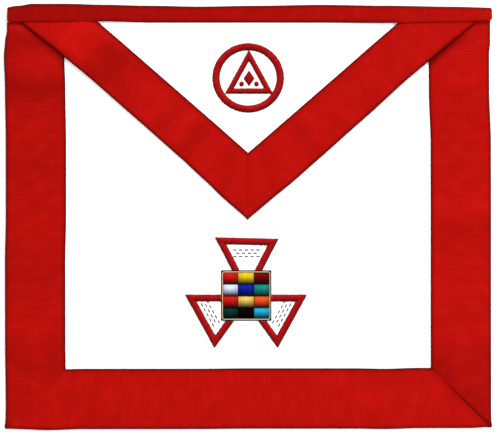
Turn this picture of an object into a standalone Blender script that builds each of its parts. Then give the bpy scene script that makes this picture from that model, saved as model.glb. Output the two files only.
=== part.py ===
"""Ceremonial apron of white leather with red ribbon borders, laid flat with its face up.

Metres, +Z up. +X runs to the right and +Y to the waistband, as the face is seen from above.
The origin is on the surface that the apron lies on, under the middle of its outline.
"""

import math

import bmesh
import bpy

LEFT, RIGHT = -1, 1

# Whole apron, cloth and leather
APRON_WIDTH = 0.4064
APRON_LENGTH = 0.3556
LEATHER = 0.0013
RIBBON = 0.001
GAP = 0.0003
EDGE_DRIFT = 0.0036

# Border ribbons: their visible width, the turn to the back, and how the panel comes down inside it
BORDER_WIDTH = 0.0503
TURN_WIDTH = 0.012
SETTLE = 0.03

# Waistband, and how far the pieces under it reach in
BAND_HEIGHT = 0.015
TUCK = 0.003

# Flap
SHOULDER_INSET = 0.0127
SHOULDER_SHIFT = 0.0011
FLAP_DROP = 0.1638
FLAP_RIBBON_WIDTH = 0.042
FLAP_SETTLE = 0.07
FLAP_BOW = 0.0027
FLAP_CORNER = 0.0009

# Embroidery: its height at the middle of a bar, and the flap's ring with the triangle in it
SATIN = 0.001
RING_DIAMETER = 0.0584
RING_BAR = 0.0058
RING_SHIFT = 0.0004
TRIANGLE_BAR = 0.0038
LOZENGE_WIDTH = 0.009
LOZENGE_HEIGHT = 0.013
DOT_DIAMETER = 0.0038
DOT_SPACING = 0.0124

# Body emblem: three triangle frames round a square plate with a corded edge and satin blocks
FRAME_REACH = 0.0511
FRAME_BAR = 0.0056
EMBLEM_SHIFT = -0.0012
PLATE_SIDE = 0.042
PLATE_MARGIN = 0.0003
CORD = 0.0011
CORD_BEND = 0.0016
BLOCK_SPACE = 0.0004

# Heights of the soft swells in the panel and in the flap
PANEL_SWELL = 0.0005
FLAP_SWELL = 0.0006

# Inward drift of each side's edge, from the waistband down: along, left, right
SIDE_EDGES = (
    (0.00, 0.86, 0.36),
    (0.06, 0.75, 0.36),
    (0.09, 0.30, 0.36),
    (0.12, 0.05, 0.60),
    (0.20, 0.30, 0.58),
    (0.33, 0.47, 0.16),
    (0.50, 0.47, 0.14),
    (0.60, 0.28, 0.14),
    (0.78, 0.30, 0.14),
    (0.95, 0.47, 0.10),
    (1.00, 0.30, 0.00),
)

# Inward drift of the bottom edge, from left to right: along, drift
BOTTOM_EDGE = (
    (0.00, 0.50),
    (0.03, 0.30),
    (0.09, 0.07),
    (0.16, 0.30),
    (0.40, 0.32),
    (0.50, 0.42),
    (0.72, 0.42),
    (0.78, 0.31),
    (0.85, 0.53),
    (0.95, 0.55),
    (1.00, 0.80),
)

# Downward drift of the waistband's fold and of its lower edge, from left to right
BAND_EDGES = (
    (0.00, 1.00, 0.17),
    (0.03, 0.55, 0.15),
    (0.06, 0.10, 0.13),
    (0.13, 0.10, 0.10),
    (0.20, 0.31, 0.08),
    (0.30, 0.53, 0.30),
    (0.40, 0.72, 0.30),
    (0.52, 0.53, 0.30),
    (0.65, 0.31, 0.31),
    (0.78, 0.53, 0.45),
    (0.92, 0.78, 0.15),
    (1.00, 1.00, -0.15),
)
BAND_END_DRIFT = {LEFT: 0.89, RIGHT: 0.0}

# Inward bow of the flap's outer edges, from the shoulder to the tip: along, left, right
FLAP_EDGES = (
    (0.00, 0.00, 0.00),
    (0.17, 0.70, 0.45),
    (0.30, 1.00, 0.60),
    (0.50, 0.90, 0.10),
    (0.70, 0.75, -0.18),
    (0.80, 0.43, -0.30),
    (0.90, 0.00, -0.08),
    (1.00, 0.00, 0.00),
)
INNER_BOW = 0.25

# Soft swells: middle x and y, half length, half width as shares of the apron, turn in degrees, height
PANEL_SWELLS = (
    (-0.45, 0.43, 0.16, 0.062, 12.0, 1.0),
    (-0.46, 0.31, 0.15, 0.070, -4.0, 1.1),
    (0.46, 0.30, 0.14, 0.080, 0.0, 0.6),
    (0.46, -0.03, 0.14, 0.090, 0.0, 0.5),
    (0.45, -0.31, 0.12, 0.070, -20.0, 0.9),
    (-0.20, -0.46, 0.070, 0.14, 0.0, 0.5),
    (0.16, -0.46, 0.075, 0.14, 0.0, 0.6),
)
FLAP_SWELLS = (
    (-0.345, 0.345, 0.070, 0.15, -42.0, 1.0),
    (-0.190, 0.210, 0.065, 0.13, -42.0, 0.7),
    (0.300, 0.300, 0.080, 0.15, 42.0, 0.5),
    (0.090, 0.090, 0.080, 0.15, 42.0, 0.5),
)

# Outer corners of the triangle frames round the plate's middle, as shares of their reach
FRAME_CORNERS = {
    "top": ((-0.511, 0.949), (0.526, 0.924), (0.016, -0.063)),
    "left": ((-1.000, 0.014), (-0.517, -0.855), (0.106, 0.014)),
    "right": ((0.990, 0.014), (0.513, -0.855), (-0.112, 0.014)),
}
EMBLEM_PLACE = 0.5

# Directions of the corners of the triangle in the ring, in degrees
TRIANGLE_TURNS = (90.0, 214.0, 326.0)

# Domes of satin stitch: how high a bar's edges, a block's ends and a block's sides are, and how wide
# a spot's top is, as shares of the full height and width
BAR_EDGE = 0.4
BLOCK_END = 0.45
BLOCK_SIDE = 0.8
SPOT_TOP = 0.6

# Satin blocks: shares of the grid's width and height, and each block's colour, row by row
BLOCK_COLUMNS = (0.32, 0.345, 0.335)
BLOCK_ROWS = (0.257, 0.256, 0.252, 0.235)
BLOCK_COLOURS = (
    ("red", "yellow", "maroon"),
    ("white", "blue", "teal"),
    ("red", "gold", "orange"),
    ("green", "black", "cyan"),
)

# Colours as linear RGB, with roughness
FINISHES = {
    "white_leather": ((0.86, 0.85, 0.83), 0.55),
    "red_ribbon": ((0.46, 0.006, 0.004), 0.6),
    "red_thread": ((0.50, 0.008, 0.010), 0.4),
    "gold_thread": ((0.62, 0.47, 0.22), 0.4),
    "black_backing": ((0.010, 0.010, 0.010), 0.8),
    "red_block": ((0.58, 0.010, 0.004), 0.4),
    "yellow_block": ((0.86, 0.72, 0.010), 0.4),
    "maroon_block": ((0.19, 0.002, 0.004), 0.4),
    "white_block": ((0.74, 0.77, 0.88), 0.4),
    "blue_block": ((0.004, 0.012, 0.30), 0.4),
    "teal_block": ((0.010, 0.22, 0.19), 0.4),
    "gold_block": ((0.72, 0.50, 0.12), 0.4),
    "orange_block": ((0.75, 0.09, 0.008), 0.4),
    "green_block": ((0.004, 0.030, 0.024), 0.4),
    "black_block": ((0.004, 0.003, 0.003), 0.4),
    "cyan_block": ((0.010, 0.36, 0.60), 0.4),
}

# Steps along and round the pieces
SIDE_STEPS = 20
BOTTOM_STEPS = 22
PANEL_COLUMNS = 12
PANEL_ROWS = 13
FLAP_ROWS = 14
FLAP_COLUMNS = 18
FLAP_RIBBON_STEPS = 16
BAND_STEPS = 20
RING_STEPS = 28
DOME_STEPS = 4
DOT_SIDES = 12
CORD_BEND_STEPS = 2
SHARP_ANGLE = 40.0
MITRE_ROUNDS = 4
SETTLE_SHARES = (0.0, 0.2, 0.4, 0.6, 0.8, 1.0)
FLAP_SHARES = (1.0, 0.8, 0.6, 0.4, 0.2)
BAND_SHARES = (1.0, 0.7, 0.52, 0.36, 0.18)
FOLD_TURNS = (90.0, 45.0, 0.0, -45.0, -90.0)
CORD_TURNS = (22.5, 67.5, 112.5, 157.5)

# What follows from the sizes above
HALF_WIDTH = APRON_WIDTH / 2
HALF_LENGTH = APRON_LENGTH / 2
LAYER = RIBBON + GAP
FOLD_DEPTH = (LEATHER + 2 * LAYER) / 2
SETTLE_START = TURN_WIDTH + EDGE_DRIFT + GAP
BAND_SETTLE_START = BAND_HEIGHT + EDGE_DRIFT + GAP
MITRE_GAP = GAP / math.sqrt(2)
LEATHER_INSET = RIBBON + 2 * GAP


def ease(part):
    """A smooth step from 0 at 0 to 1 at 1, level outside."""
    part = min(max(part, 0.0), 1.0)
    return part * part * (3.0 - 2.0 * part)


def between(first, last, part):
    return first + (last - first) * part


def shares(steps):
    return [step / steps for step in range(steps + 1)]


def from_table(rows, along, column):
    """A column of a table at a share along it, eased from row to row."""
    for before, after in zip(rows, rows[1:]):
        if along <= after[0]:
            part = ease((along - before[0]) / (after[0] - before[0]))
            return between(before[column], after[column], part)
    return rows[-1][column]


def side_edge(side, y):
    """X of the outer edge of a side ribbon."""
    column = 1 if side == LEFT else 2
    drift = from_table(SIDE_EDGES, 0.5 - y / APRON_LENGTH, column)
    return side * (HALF_WIDTH - EDGE_DRIFT * drift)


def bottom_edge(x):
    """Y of the outer edge of the bottom ribbon."""
    return EDGE_DRIFT * from_table(BOTTOM_EDGE, 0.5 + x / APRON_WIDTH, 1) - HALF_LENGTH


def band_top(x):
    """Y of the waistband's fold."""
    return HALF_LENGTH - EDGE_DRIFT * from_table(BAND_EDGES, 0.5 + x / APRON_WIDTH, 1)


def band_low(x):
    """Y of the waistband's lower edge."""
    drift = from_table(BAND_EDGES, 0.5 + x / APRON_WIDTH, 2)
    return HALF_LENGTH - BAND_HEIGHT - EDGE_DRIFT * drift


def band_end(side):
    return side * (HALF_WIDTH - EDGE_DRIFT * BAND_END_DRIFT[side])


def swell(rows, x, y):
    """Height that the soft swells of a table add at a point, as a share of their named height."""
    height = 0.0
    for middle_x, middle_y, half_length, half_width, turn, share in rows:
        away_x = x / APRON_WIDTH - middle_x
        away_y = y / APRON_WIDTH - middle_y * APRON_LENGTH / APRON_WIDTH
        turned = math.radians(turn)
        along = away_x * math.cos(turned) + away_y * math.sin(turned)
        across = away_y * math.cos(turned) - away_x * math.sin(turned)
        height += share * math.exp(-((along / half_length) ** 2) - (across / half_width) ** 2)
    return height


def floor_swell(x, y):
    return PANEL_SWELL * swell(PANEL_SWELLS, x, y)


def panel_back(x, y):
    """Height of the panel's back: over the turned ribbons at the edges, and on the floor between."""
    level = 1.0
    for inward, start in (
        (HALF_WIDTH + x, SETTLE_START),
        (HALF_WIDTH - x, SETTLE_START),
        (HALF_LENGTH + y, SETTLE_START),
        (HALF_LENGTH - y, BAND_SETTLE_START),
    ):
        level *= ease((inward - start) / SETTLE)
    return LAYER * (1.0 - level) + floor_swell(x, y)


def panel_top(x, y):
    return panel_back(x, y) + LEATHER


def over_sides(x):
    """1 where the flap and the waistband pass over a side ribbon, falling to 0 inside it."""
    inward = HALF_WIDTH - abs(x) - BORDER_WIDTH - 2 * EDGE_DRIFT
    return 1.0 - ease(inward / FLAP_SETTLE)


def flap_swell(x, y):
    return FLAP_SWELL * swell(FLAP_SWELLS, x, y)


def flap_back(x, y):
    return panel_top(x, y) + GAP + LAYER * over_sides(x) + flap_swell(x, y)


def flap_top(x, y):
    return flap_back(x, y) + LEATHER


def sheet(name, outer, inner, finish, ring=False, walled=False):
    """A closed solid between two grids of points. A ring's last row meets its first, and a walled
    sheet has its first and last rows filled, as in a pouch that is open along one edge."""
    rows, columns = len(outer), len(outer[0])
    mesh = bmesh.new()
    skins = [[[mesh.verts.new(point) for point in row] for row in grid] for grid in (outer, inner)]
    for row in range(rows if ring else rows - 1):
        after = (row + 1) % rows
        for skin in skins:
            for column in range(columns - 1):
                here, there = skin[row], skin[after]
                mesh.faces.new((here[column], there[column], there[column + 1], here[column + 1]))
        for at in (0, -1):
            mesh.faces.new((skins[0][row][at], skins[0][after][at], skins[1][after][at], skins[1][row][at]))
    for row in () if ring else (0, rows - 1):
        first, second = skins[0][row], skins[1][row]
        if walled:
            mesh.faces.new(first)
            mesh.faces.new(second)
            mesh.faces.new((first[0], second[0], second[-1], first[-1]))
            continue
        for at in range(columns - 1):
            mesh.faces.new((first[at], first[at + 1], second[at + 1], second[at]))
    return finished(name, mesh, finish)


def finished(name, mesh, finish):
    """The named object of a bmesh, with its faces out, its round faces smooth and its material."""
    bmesh.ops.recalc_face_normals(mesh, faces=mesh.faces)
    data = bpy.data.meshes.new(name)
    mesh.to_mesh(data)
    mesh.free()
    data.shade_smooth()
    data.set_sharp_from_angle(angle=math.radians(SHARP_ANGLE))
    data.materials.append(bpy.data.materials[finish])
    piece = bpy.data.objects.new(name, data)
    bpy.context.scene.collection.objects.link(piece)
    return piece


def make_finishes():
    for name, (colour, roughness) in FINISHES.items():
        material = bpy.data.materials.new(name)
        material.use_nodes = True
        shader = material.node_tree.nodes["Principled BSDF"]
        shader.inputs["Base Color"].default_value = (*colour, 1.0)
        shader.inputs["Roughness"].default_value = roughness
        shader.inputs["Metallic"].default_value = 0.0
        material.diffuse_color = (*colour, 1.0)


def apron_panel():
    """The leather sheet, inside the folds of the ribbons and of the waistband."""
    across = [SETTLE_START + SETTLE * share for share in SETTLE_SHARES]
    inner_width = APRON_WIDTH - 2 * across[-1]
    middle_columns = [across[-1] + inner_width * share for share in shares(PANEL_COLUMNS)[1:-1]]
    columns = [0.0, *across, *middle_columns, *[APRON_WIDTH - at for at in reversed(across)], APRON_WIDTH]
    down = [BAND_SETTLE_START + SETTLE * share for share in SETTLE_SHARES]
    inner_length = APRON_LENGTH - down[-1] - across[-1]
    middle_rows = [down[-1] + inner_length * share for share in shares(PANEL_ROWS)[1:-1]]
    rows = [0.0, *down, *middle_rows, *[APRON_LENGTH - at for at in reversed(across)], APRON_LENGTH]
    top, back = [], []
    for row in rows:
        places = []
        for column in columns:
            y = HALF_LENGTH - row
            left = side_edge(LEFT, y) + FOLD_DEPTH
            right = side_edge(RIGHT, y) - FOLD_DEPTH
            x = min(max(column - HALF_WIDTH, left), right)
            low, high = bottom_edge(x) + FOLD_DEPTH, band_top(x) - FOLD_DEPTH
            places.append((x, min(max(y, low), high)))
        top.append([(x, y, panel_top(x, y)) for x, y in places])
        back.append([(x, y, panel_back(x, y)) for x, y in places])
    return sheet("apron_panel", top, back, "white_leather")


def folded_over():
    """The round part of a ribbon's middle line, where it turns over an edge."""
    bend = FOLD_DEPTH - RIBBON / 2
    return [(FOLD_DEPTH - bend * math.cos(math.radians(turn)), turn) for turn in FOLD_TURNS]


def border_profile():
    """The ribbon's middle line, from its inner edge round the fold to the edge of the back turn,
    as distances in from the outer edge with the direction that its outer face looks in."""
    front = [BORDER_WIDTH] + [SETTLE_START + SETTLE * share for share in reversed(SETTLE_SHARES)]
    front.append(2 * FOLD_DEPTH + RIBBON)
    profile = [(distance, FOLD_TURNS[0]) for distance in front]
    return [*profile, *folded_over(), (TURN_WIDTH, FOLD_TURNS[-1])]


def wrapped(name, profile, steps, place, front, walled=False):
    """A ribbon folded over an edge. place gives x and y at a share along it and a distance in
    from its edge, for a profile point's direction and the outer or inner skin. front gives the
    height of the middle of its front layer."""
    skins = []
    for half in (RIBBON / 2, -RIBBON / 2):
        rows = []
        for along in steps:
            row = []
            for distance, turn in profile:
                turned = math.radians(turn)
                offset = half * math.cos(turned)
                x, y = place(along, distance - offset, turn, half < 0)
                back = floor_swell(x, y) + RIBBON / 2
                middle = between(back, front(x, y), (1.0 + math.sin(turned)) / 2)
                row.append((x, y, middle + half * math.sin(turned)))
            rows.append(row)
        skins.append(rows)
    return sheet(name, skins[0], skins[1], "red_ribbon", walled=walled)


def border_front(x, y):
    return panel_top(x, y) + GAP + RIBBON / 2


def corner(side):
    """The lower corner where the outer edges of two ribbons meet."""
    return side_edge(side, -HALF_LENGTH), bottom_edge(side * HALF_WIDTH)


def side_ribbon(side):
    corner_x, corner_y = corner(side)

    def place(along, inward, turn, inner):
        tucked = turn == FOLD_TURNS[0] and inward > FOLD_DEPTH + RIBBON
        top = band_low(side * (HALF_WIDTH - inward)) + (TUCK if tucked else -2 * GAP)
        bottom = corner_y + inward
        for _ in range(MITRE_ROUNDS):
            x = side_edge(side, bottom) - side * inward
            bottom = corner_y + side * (corner_x - x) + MITRE_GAP
        y = between(top, bottom, along)
        return side_edge(side, y) - side * inward, y

    name = "side_ribbon_left" if side == LEFT else "side_ribbon_right"
    return wrapped(name, border_profile(), shares(SIDE_STEPS), place, border_front)


def bottom_ribbon():
    def end(side, inward):
        corner_x, corner_y = corner(side)
        x = corner_x - side * inward
        for _ in range(MITRE_ROUNDS):
            rise = bottom_edge(x) + inward - corner_y
            x = corner_x - side * (rise + MITRE_GAP)
        return x

    def place(along, inward, turn, inner):
        x = between(end(LEFT, inward), end(RIGHT, inward), along)
        return x, bottom_edge(x) + inward

    return wrapped("bottom_ribbon", border_profile(), shares(BOTTOM_STEPS), place, border_front)


def shoulder(side):
    """Where an outer edge of the flap comes out from under the waistband."""
    x = side * (HALF_WIDTH - SHOULDER_INSET) + SHOULDER_SHIFT
    return x, band_low(x)


def flap_tip():
    return 0.0, band_low(0.0) - FLAP_DROP


def flap_place(side, along, inward, cut):
    """A point of the flap, at a share from under the waistband to the seam at the tip and a distance
    in from the outer edge. cut is how far short of the middle seam it ends."""
    start_x, start_y = shoulder(side)
    tip_x, tip_y = flap_tip()
    length = math.hypot(tip_x - start_x, tip_y - start_y)
    run_x, run_y = (tip_x - start_x) / length, (tip_y - start_y) / length
    in_x, in_y = side * run_y, -side * run_x
    first = (TUCK - in_y * inward) / run_y
    last = (tip_x + side * cut - start_x - in_x * inward) / run_x
    run = between(first, last, along)
    bow = FLAP_BOW * from_table(FLAP_EDGES, run / length, 1 if side == LEFT else 2)
    bow *= between(1.0, INNER_BOW, inward / FLAP_RIBBON_WIDTH)
    return start_x + run_x * run + in_x * (inward + bow), start_y + run_y * run + in_y * (inward + bow)


def flap_panel():
    """The leather of the flap, inside the turned edge of its ribbons, with a blunt tip."""
    top, back = [], []
    for along in shares(FLAP_ROWS):
        left = flap_place(LEFT, along, LEATHER_INSET, LEATHER_INSET)
        right = flap_place(RIGHT, along, LEATHER_INSET, LEATHER_INSET)
        places = [[between(a, b, part) for a, b in zip(left, right)] for part in shares(FLAP_COLUMNS)]
        top.append([(x, y, flap_top(x, y)) for x, y in places])
        back.append([(x, y, flap_back(x, y)) for x, y in places])
    return sheet("flap_panel", top, back, "white_leather")


def flap_ribbon(side):
    """A ribbon along the flap's slanted edge, turned down over the edge of the leather."""
    middle = LEATHER + GAP + RIBBON / 2
    profile = [(FLAP_RIBBON_WIDTH * share, middle, FOLD_TURNS[0]) for share in FLAP_SHARES]
    for turn in FOLD_TURNS[:3]:
        turned = math.radians(turn)
        inward = RIBBON / 2 + FLAP_CORNER * (1.0 - math.cos(turned))
        profile.append((inward, middle - FLAP_CORNER * (1.0 - math.sin(turned)), turn))
    profile.append((RIBBON / 2, 0.0, FOLD_TURNS[2]))
    skins = []
    for half in (RIBBON / 2, -RIBBON / 2):
        rows = []
        for along in shares(FLAP_RIBBON_STEPS):
            row = []
            for inward, height, turn in profile:
                turned = math.radians(turn)
                x, y = flap_place(side, along, inward - half * math.cos(turned), GAP / 2)
                row.append((x, y, flap_back(x, y) + height + half * math.sin(turned)))
            rows.append(row)
        skins.append(rows)
    name = "flap_ribbon_left" if side == LEFT else "flap_ribbon_right"
    return sheet(name, skins[0], skins[1], "red_ribbon")


def waistband():
    """A ribbon folded over the top edge, with closed ends. Its front layer covers the tops of the
    side ribbons and of the flap, and comes down to the panel at the fold."""
    corners = {side: abs(flap_place(side, 0.0, 0.0, 0.0)[0]) + LAYER + GAP for side in (LEFT, RIGHT)}
    ribbon_inner = min(abs(flap_place(side, 0.0, FLAP_RIBBON_WIDTH, 0.0)[0]) for side in (LEFT, RIGHT))
    ribbon_start = ribbon_inner - 2 * TUCK
    seam_top = max(band_low(side * HALF_WIDTH) for side in (LEFT, RIGHT)) + TUCK + GAP

    def front(x, y):
        side = LEFT if x < 0 else RIGHT
        reach = abs(band_end(side)) - RIBBON
        over_flap = 1.0 - ease((abs(x) - corners[side]) / (reach - corners[side]))
        over_ribbon = 1.0 - ease((ribbon_start - abs(x)) / (SETTLE + TUCK))
        flap = LEATHER + GAP + LAYER * over_ribbon + flap_swell(x, y)
        pile = LAYER * over_sides(x) + flap * over_flap
        fold = band_top(x) - FOLD_DEPTH
        return border_front(x, y) + pile * ease((fold - y) / (fold - seam_top))

    def place(along, inward, turn, inner):
        wall = RIBBON if inner else 0.0
        x = between(band_end(LEFT) + wall, band_end(RIGHT) - wall, along)
        top, below = band_top(x), max(inward - FOLD_DEPTH, 0.0)
        stretch = (top - FOLD_DEPTH - band_low(x)) / (BAND_HEIGHT - FOLD_DEPTH)
        return x, top - min(inward, FOLD_DEPTH) - below * stretch

    front_width = BAND_HEIGHT - FOLD_DEPTH
    profile = [(FOLD_DEPTH + front_width * share, FOLD_TURNS[0]) for share in BAND_SHARES]
    profile += folded_over()
    profile.append((BAND_HEIGHT, FOLD_TURNS[-1]))
    width = band_end(RIGHT) - band_end(LEFT)
    slope_left, slope_right = [(abs(band_end(side)) - corners[side]) / width for side in (LEFT, RIGHT)]
    steps = [0.0, slope_left / 2, slope_left]
    steps += [between(slope_left, 1.0 - slope_right, share) for share in shares(BAND_STEPS)[1:-1]]
    steps += [1.0 - slope_right, 1.0 - slope_right / 2, 1.0]
    return wrapped("waistband", profile, steps, place, front, walled=True)


def satin_loop(name, pairs, surface, finish):
    """A closed band of raised satin stitch between pairs of outer and inner points on a surface."""
    across = shares(DOME_STEPS)
    top, back = [], []
    for outer, inner in pairs:
        places = [[between(a, b, part) for a, b in zip(outer, inner)] for part in across]
        heights = [SATIN * between(BAR_EDGE, 1.0, math.sin(math.pi * part)) for part in across]
        bed = [surface(x, y) + GAP for x, y in places]
        top.append([(x, y, z + height) for (x, y), z, height in zip(places, bed, heights)])
        back.append([(x, y, z) for (x, y), z in zip(places, bed)])
    return sheet(name, top, back, finish, ring=True)


def mitred(corners, bar):
    """Pairs of outer and inner corners of a bar that follows a triangle."""
    pairs = []
    for index, here in enumerate(corners):
        directions = []
        for other in (corners[index - 1], corners[(index + 1) % 3]):
            length = math.dist(here, other)
            directions.append([(b - a) / length for a, b in zip(here, other)])
        inward = [a + b for a, b in zip(*directions)]
        half_turn = math.acos(sum(a * b for a, b in zip(*directions))) / 2
        reach = bar / math.sin(half_turn) / math.hypot(*inward)
        pairs.append((here, [a + b * reach for a, b in zip(here, inward)]))
    return pairs


def satin_spot(name, middle, width, height, sides, surface):
    """A small raised spot of satin stitch: a low cone with its top cut off."""
    mesh = bmesh.new()
    bmesh.ops.create_cone(
        mesh, cap_ends=True, segments=sides, radius1=0.5, radius2=0.5 * SPOT_TOP, depth=SATIN
    )
    bed = surface(*middle) + GAP + SATIN / 2
    for vertex in mesh.verts:
        vertex.co.x = middle[0] + vertex.co.x * width
        vertex.co.y = middle[1] + vertex.co.y * height
        vertex.co.z += bed
    return finished(name, mesh, "red_thread")


def flap_emblem():
    """A ring in the middle of the flap's white triangle, with a triangle and a small motif in it."""
    left_x, left_y = flap_place(LEFT, 0.0, FLAP_RIBBON_WIDTH, 0.0)
    inner_x, inner_y = flap_place(LEFT, 1.0, FLAP_RIBBON_WIDTH, 0.0)
    top_y = band_low(0.0)
    slant = math.atan2(left_y - inner_y, inner_x - left_x)
    room = (top_y - inner_y) * math.cos(slant) / (1.0 + math.cos(slant))
    middle = (RING_SHIFT, top_y - room)

    def ring_point(radius, turn):
        return [middle[0] + radius * math.cos(turn), middle[1] + radius * math.sin(turn)]

    radii = (RING_DIAMETER / 2, RING_DIAMETER / 2 - RING_BAR)
    turns = [2 * math.pi * share for share in shares(RING_STEPS)[:-1]]
    ring = [[ring_point(radius, turn) for radius in radii] for turn in turns]
    satin_loop("flap_ring", ring, flap_top, "red_thread")
    # The ring is faceted, so the triangle in it keeps to the circle that fits inside its facets.
    reach = radii[1] * math.cos(math.pi / RING_STEPS) - GAP
    corners = [ring_point(reach, math.radians(turn)) for turn in TRIANGLE_TURNS]
    satin_loop("flap_triangle", mitred(corners, TRIANGLE_BAR), flap_top, "red_thread")
    base_y = corners[1][1] + TRIANGLE_BAR
    spots_y = base_y + DOT_DIAMETER
    for side, name in ((LEFT, "flap_dot_left"), (RIGHT, "flap_dot_right")):
        place = (middle[0] + side * DOT_SPACING / 2, spots_y)
        satin_spot(name, place, DOT_DIAMETER, DOT_DIAMETER, DOT_SIDES, flap_top)
    lozenge_y = base_y + DOT_DIAMETER / 2 + LOZENGE_HEIGHT / 2
    satin_spot("flap_lozenge", (middle[0], lozenge_y), LOZENGE_WIDTH, LOZENGE_HEIGHT, 4, flap_top)


def emblem_middle():
    """The plate's middle: the frames share the space between the flap's tip and the bottom ribbon."""
    above = FRAME_REACH * max(y for _, y in FRAME_CORNERS["top"])
    below = -FRAME_REACH * min(y for _, y in FRAME_CORNERS["left"])
    tip_y = flap_tip()[1]
    free = tip_y - (BORDER_WIDTH + EDGE_DRIFT - HALF_LENGTH) - above - below
    return EMBLEM_SHIFT, tip_y - free * EMBLEM_PLACE - above


def box(name, low, high, finish):
    mesh = bmesh.new()
    bmesh.ops.create_cube(mesh, size=1.0)
    for vertex in mesh.verts:
        vertex.co = [between(a, b, c + 0.5) for a, b, c in zip(low, high, vertex.co)]
    return finished(name, mesh, finish)


def emblem_frames(middle):
    """Three triangles of satin bar, each trimmed where the plate covers it."""
    half = PLATE_SIDE / 2 + GAP
    bed = panel_top(*middle)
    low = (middle[0] - half, middle[1] - half, bed - LEATHER)
    high = (middle[0] + half, middle[1] + half, bed + LEATHER + 2 * SATIN)
    cutter = box("plate_cutter", low, high, "black_backing")
    cutter.hide_render = True
    cutter.display_type = "WIRE"
    for name, corners in FRAME_CORNERS.items():
        places = [[m + FRAME_REACH * share for m, share in zip(middle, corner_at)] for corner_at in corners]
        frame = satin_loop(f"emblem_frame_{name}", mitred(places, FRAME_BAR), panel_top, "red_thread")
        trim = frame.modifiers.new("trim_at_plate", "BOOLEAN")
        trim.operation = "DIFFERENCE"
        trim.object = cutter


def plate(middle):
    """A black backing with a gold cord round its edge and a grid of satin blocks inside the cord."""
    half = PLATE_SIDE / 2
    bed = panel_top(*middle) + GAP
    low = (middle[0] - half, middle[1] - half, bed)
    high = (middle[0] + half, middle[1] + half, bed + RIBBON)
    box("plate_backing", low, high, "black_backing")
    seat = bed + RIBBON + GAP
    plate_cord(middle, half - PLATE_MARGIN - CORD / 2, seat + CORD / 2)
    grid = 2 * (half - PLATE_MARGIN - CORD - GAP)
    top = middle[1] + grid / 2
    for row, row_share in enumerate(BLOCK_ROWS):
        left = middle[0] - grid / 2
        for column, column_share in enumerate(BLOCK_COLUMNS):
            size = (grid * column_share - BLOCK_SPACE, grid * row_share - BLOCK_SPACE)
            start = (left + BLOCK_SPACE / 2, top - BLOCK_SPACE / 2)
            satin_block(f"block_{row + 1}_{column + 1}", start, size, seat, BLOCK_COLOURS[row][column])
            left += grid * column_share
        top -= grid * row_share


def plate_cord(middle, half, height):
    """A round cord on a square path with bent corners."""
    upper, lower = [], []
    for quarter in range(4):
        for part in shares(CORD_BEND_STEPS):
            turn = math.radians(90.0 * (quarter + part))
            bend = half - CORD_BEND
            mid_turn = math.radians(90.0 * quarter + 45.0)
            hub = (math.copysign(bend, math.cos(mid_turn)), math.copysign(bend, math.sin(mid_turn)))
            rows = [[], []]
            for round_turn in CORD_TURNS:
                reach = CORD_BEND + CORD / 2 * math.cos(math.radians(round_turn))
                rise = CORD / 2 * math.sin(math.radians(round_turn))
                x = middle[0] + hub[0] + reach * math.cos(turn)
                y = middle[1] + hub[1] + reach * math.sin(turn)
                rows[0].append((x, y, height + rise))
                rows[1].append((x, y, height - rise))
            upper.append(rows[0])
            lower.append(rows[1])
    return sheet("plate_cord", upper, lower, "gold_thread", ring=True)


def satin_block(name, start, size, seat, colour):
    """A padded block of satin stitch: flat below, and domed above with soft ends."""
    top, back = [], []
    for down in shares(DOME_STEPS):
        y = start[1] - size[1] * down
        swelled = between(BLOCK_END, 1.0, math.sin(math.pi * down))
        xs = [start[0] + size[0] * part for part in shares(DOME_STEPS)]
        rise = [swelled * between(BLOCK_SIDE, 1.0, math.sin(math.pi * part)) for part in shares(DOME_STEPS)]
        top.append([(x, y, seat + SATIN * share) for x, share in zip(xs, rise)])
        back.append([(x, y, seat) for x in xs])
    return sheet(name, top, back, f"{colour}_block")


for old in list(bpy.data.objects):
    bpy.data.objects.remove(old, do_unlink=True)
make_finishes()
apron_panel()
side_ribbon(LEFT)
side_ribbon(RIGHT)
bottom_ribbon()
flap_panel()
flap_ribbon(LEFT)
flap_ribbon(RIGHT)
waistband()
flap_emblem()
emblem_frames(emblem_middle())
plate(emblem_middle())
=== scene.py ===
"""Looks of a ceremonial apron of white leather with red ribbon borders, laid flat with its face up.

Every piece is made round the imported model, in metres, with +Y towards the waistband and +Z up.
"""

import math

import bmesh
import bpy
import numpy as np
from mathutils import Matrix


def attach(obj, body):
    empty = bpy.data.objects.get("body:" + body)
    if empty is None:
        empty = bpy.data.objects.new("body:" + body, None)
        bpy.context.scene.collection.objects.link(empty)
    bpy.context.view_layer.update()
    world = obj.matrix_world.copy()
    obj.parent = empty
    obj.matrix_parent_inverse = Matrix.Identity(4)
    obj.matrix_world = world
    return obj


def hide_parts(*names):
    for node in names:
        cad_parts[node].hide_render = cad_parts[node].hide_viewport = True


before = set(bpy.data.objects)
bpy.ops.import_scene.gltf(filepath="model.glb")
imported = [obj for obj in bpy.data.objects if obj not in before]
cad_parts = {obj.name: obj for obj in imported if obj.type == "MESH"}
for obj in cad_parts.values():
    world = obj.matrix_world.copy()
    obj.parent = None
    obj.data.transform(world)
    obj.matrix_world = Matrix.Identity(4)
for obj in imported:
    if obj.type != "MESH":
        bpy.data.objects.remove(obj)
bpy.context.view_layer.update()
scene = bpy.context.scene

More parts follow.
